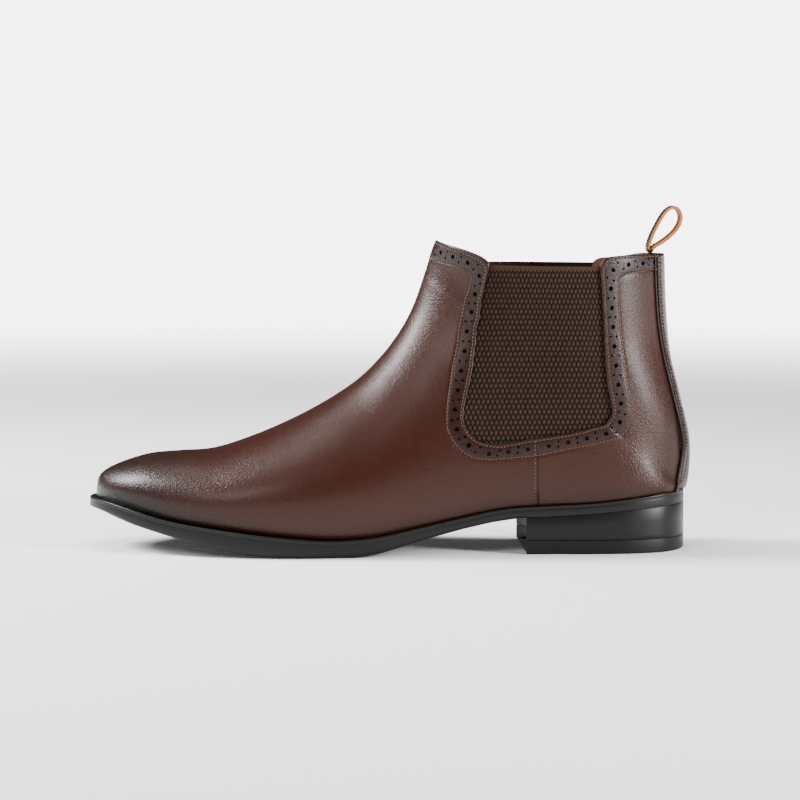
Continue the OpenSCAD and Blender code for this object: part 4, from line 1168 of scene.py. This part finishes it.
finish_piece(b.object("pull_loop_tail_strap", [mat_loop_face, mat_thread], 38, 0.004), "pull_loop_tail")

# ---------------------------------------------------------------- carried-over CAD nodes
CARRIED = {"toe_puff": mat_puff, "vamp_interlining": mat_cloth, "heel_counter": mat_puff, "insole_board": mat_board,
           "shank": mat_steel, "shank_rivets": mat_brass, "cork_filler": mat_cork, "heel_nails": mat_brass,
           "lift_pins": mat_steel}
for name, mat in CARRIED.items():
    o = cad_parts[name]
    o.data.materials.clear()
    o.data.materials.append(mat)

# ---------------------------------------------------------------- floor, light, camera
FILL, BACKDROP, FLOOR_GLOW = 0.07, 6.0, 0.05
floor_me = bpy.data.meshes.new("floor")
floor_me.from_pydata([(-14, -14, 0), (14, -14, 0), (14, 14, 0), (-14, 14, 0)], [], [(0, 1, 2, 3)])
floor = bpy.data.objects.new("floor", floor_me)
bpy.context.scene.collection.objects.link(floor)
fm, fn, fl, fb = nodes_of("floor_white")
fb.inputs["Base Color"].default_value = (0.9, 0.9, 0.9, 1)
fb.inputs["Roughness"].default_value = 0.9
fb.inputs["Emission Color"].default_value = (1, 1, 1, 1)
# the far floor glows like a lit studio sweep, so that it runs into the backdrop
reach = fn.new("ShaderNodeVectorMath")
reach.operation = "LENGTH"
fl.new(fn.new("ShaderNodeTexCoord").outputs["Object"], reach.inputs[0])
sweep = fn.new("ShaderNodeMapRange")
sweep.interpolation_type = "SMOOTHERSTEP"
for key, value in (("From Min", 0.7), ("From Max", 2.6), ("To Min", FLOOR_GLOW), ("To Max", BACKDROP)):
    sweep.inputs[key].default_value = value
fl.new(reach.outputs["Value"], sweep.inputs["Value"])
fl.new(sweep.outputs[0], fb.inputs["Emission Strength"])
floor_me.materials.append(fm)

world = bpy.data.worlds.new("studio")
bpy.context.scene.world = world
world.use_nodes = True
wn, wl = world.node_tree.nodes, world.node_tree.links
soft, wall, pick = wn["Background"], wn.new("ShaderNodeBackground"), wn.new("ShaderNodeMixShader")
soft.inputs[1].default_value, wall.inputs[1].default_value = FILL, BACKDROP
for bg in (soft, wall):
    bg.inputs[0].default_value = (1, 1, 1, 1)
wl.new(wn.new("ShaderNodeLightPath").outputs["Is Camera Ray"], pick.inputs[0])
wl.new(soft.outputs[0], pick.inputs[1])
wl.new(wall.outputs[0], pick.inputs[2])
wl.new(pick.outputs[0], wn["World Output"].inputs[0])

def area_light(name, at, look, size, power, size_y=None):
    d = bpy.data.lights.new(name, "AREA")
    d.energy, d.size = power, size
    if size_y:
        d.shape, d.size_y = "RECTANGLE", size_y
    o = bpy.data.objects.new(name, d)
    o.location = at
    o.rotation_mode = "QUATERNION"
    o.rotation_quaternion = (Vector(look) - Vector(at)).to_track_quat("-Z", "Y")
    bpy.context.scene.collection.objects.link(o)

area_light("key_left", (-1.15, 0.2, 0.95), (0, 0, 0.08), 0.42, 56, 0.5)
area_light("front_left", (-0.75, -1.2, 0.9), (0, 0, 0.08), 0.5, 12, 0.6)
area_light("key_right", (1.2, -0.62, 0.42), (0.08, 0, 0.08), 0.3, 34, 0.5)
area_light("top", (0.0, 0.15, 1.3), (0, 0, 0.05), 0.9, 16)

DIST, ELEV, SCALE = 1.45, math.radians(4.6), 0.5085
AIM = Vector((0.0056, 0, 0.0745))
cam_data = bpy.data.cameras.new("camera")
cam = bpy.data.objects.new("camera", cam_data)
bpy.context.scene.collection.objects.link(cam)
bpy.context.scene.camera = cam
back = Vector((0, -math.cos(ELEV), math.sin(ELEV)))
cam.location = AIM + back * DIST
cam.rotation_mode = "QUATERNION"
cam.rotation_quaternion = (-back).to_track_quat("-Z", "Y")
cam_data.sensor_width = 36
cam_data.lens = 36 / 2 / (SCALE * 0.4 / DIST)
cam_data.clip_start, cam_data.clip_end = 0.05, 50
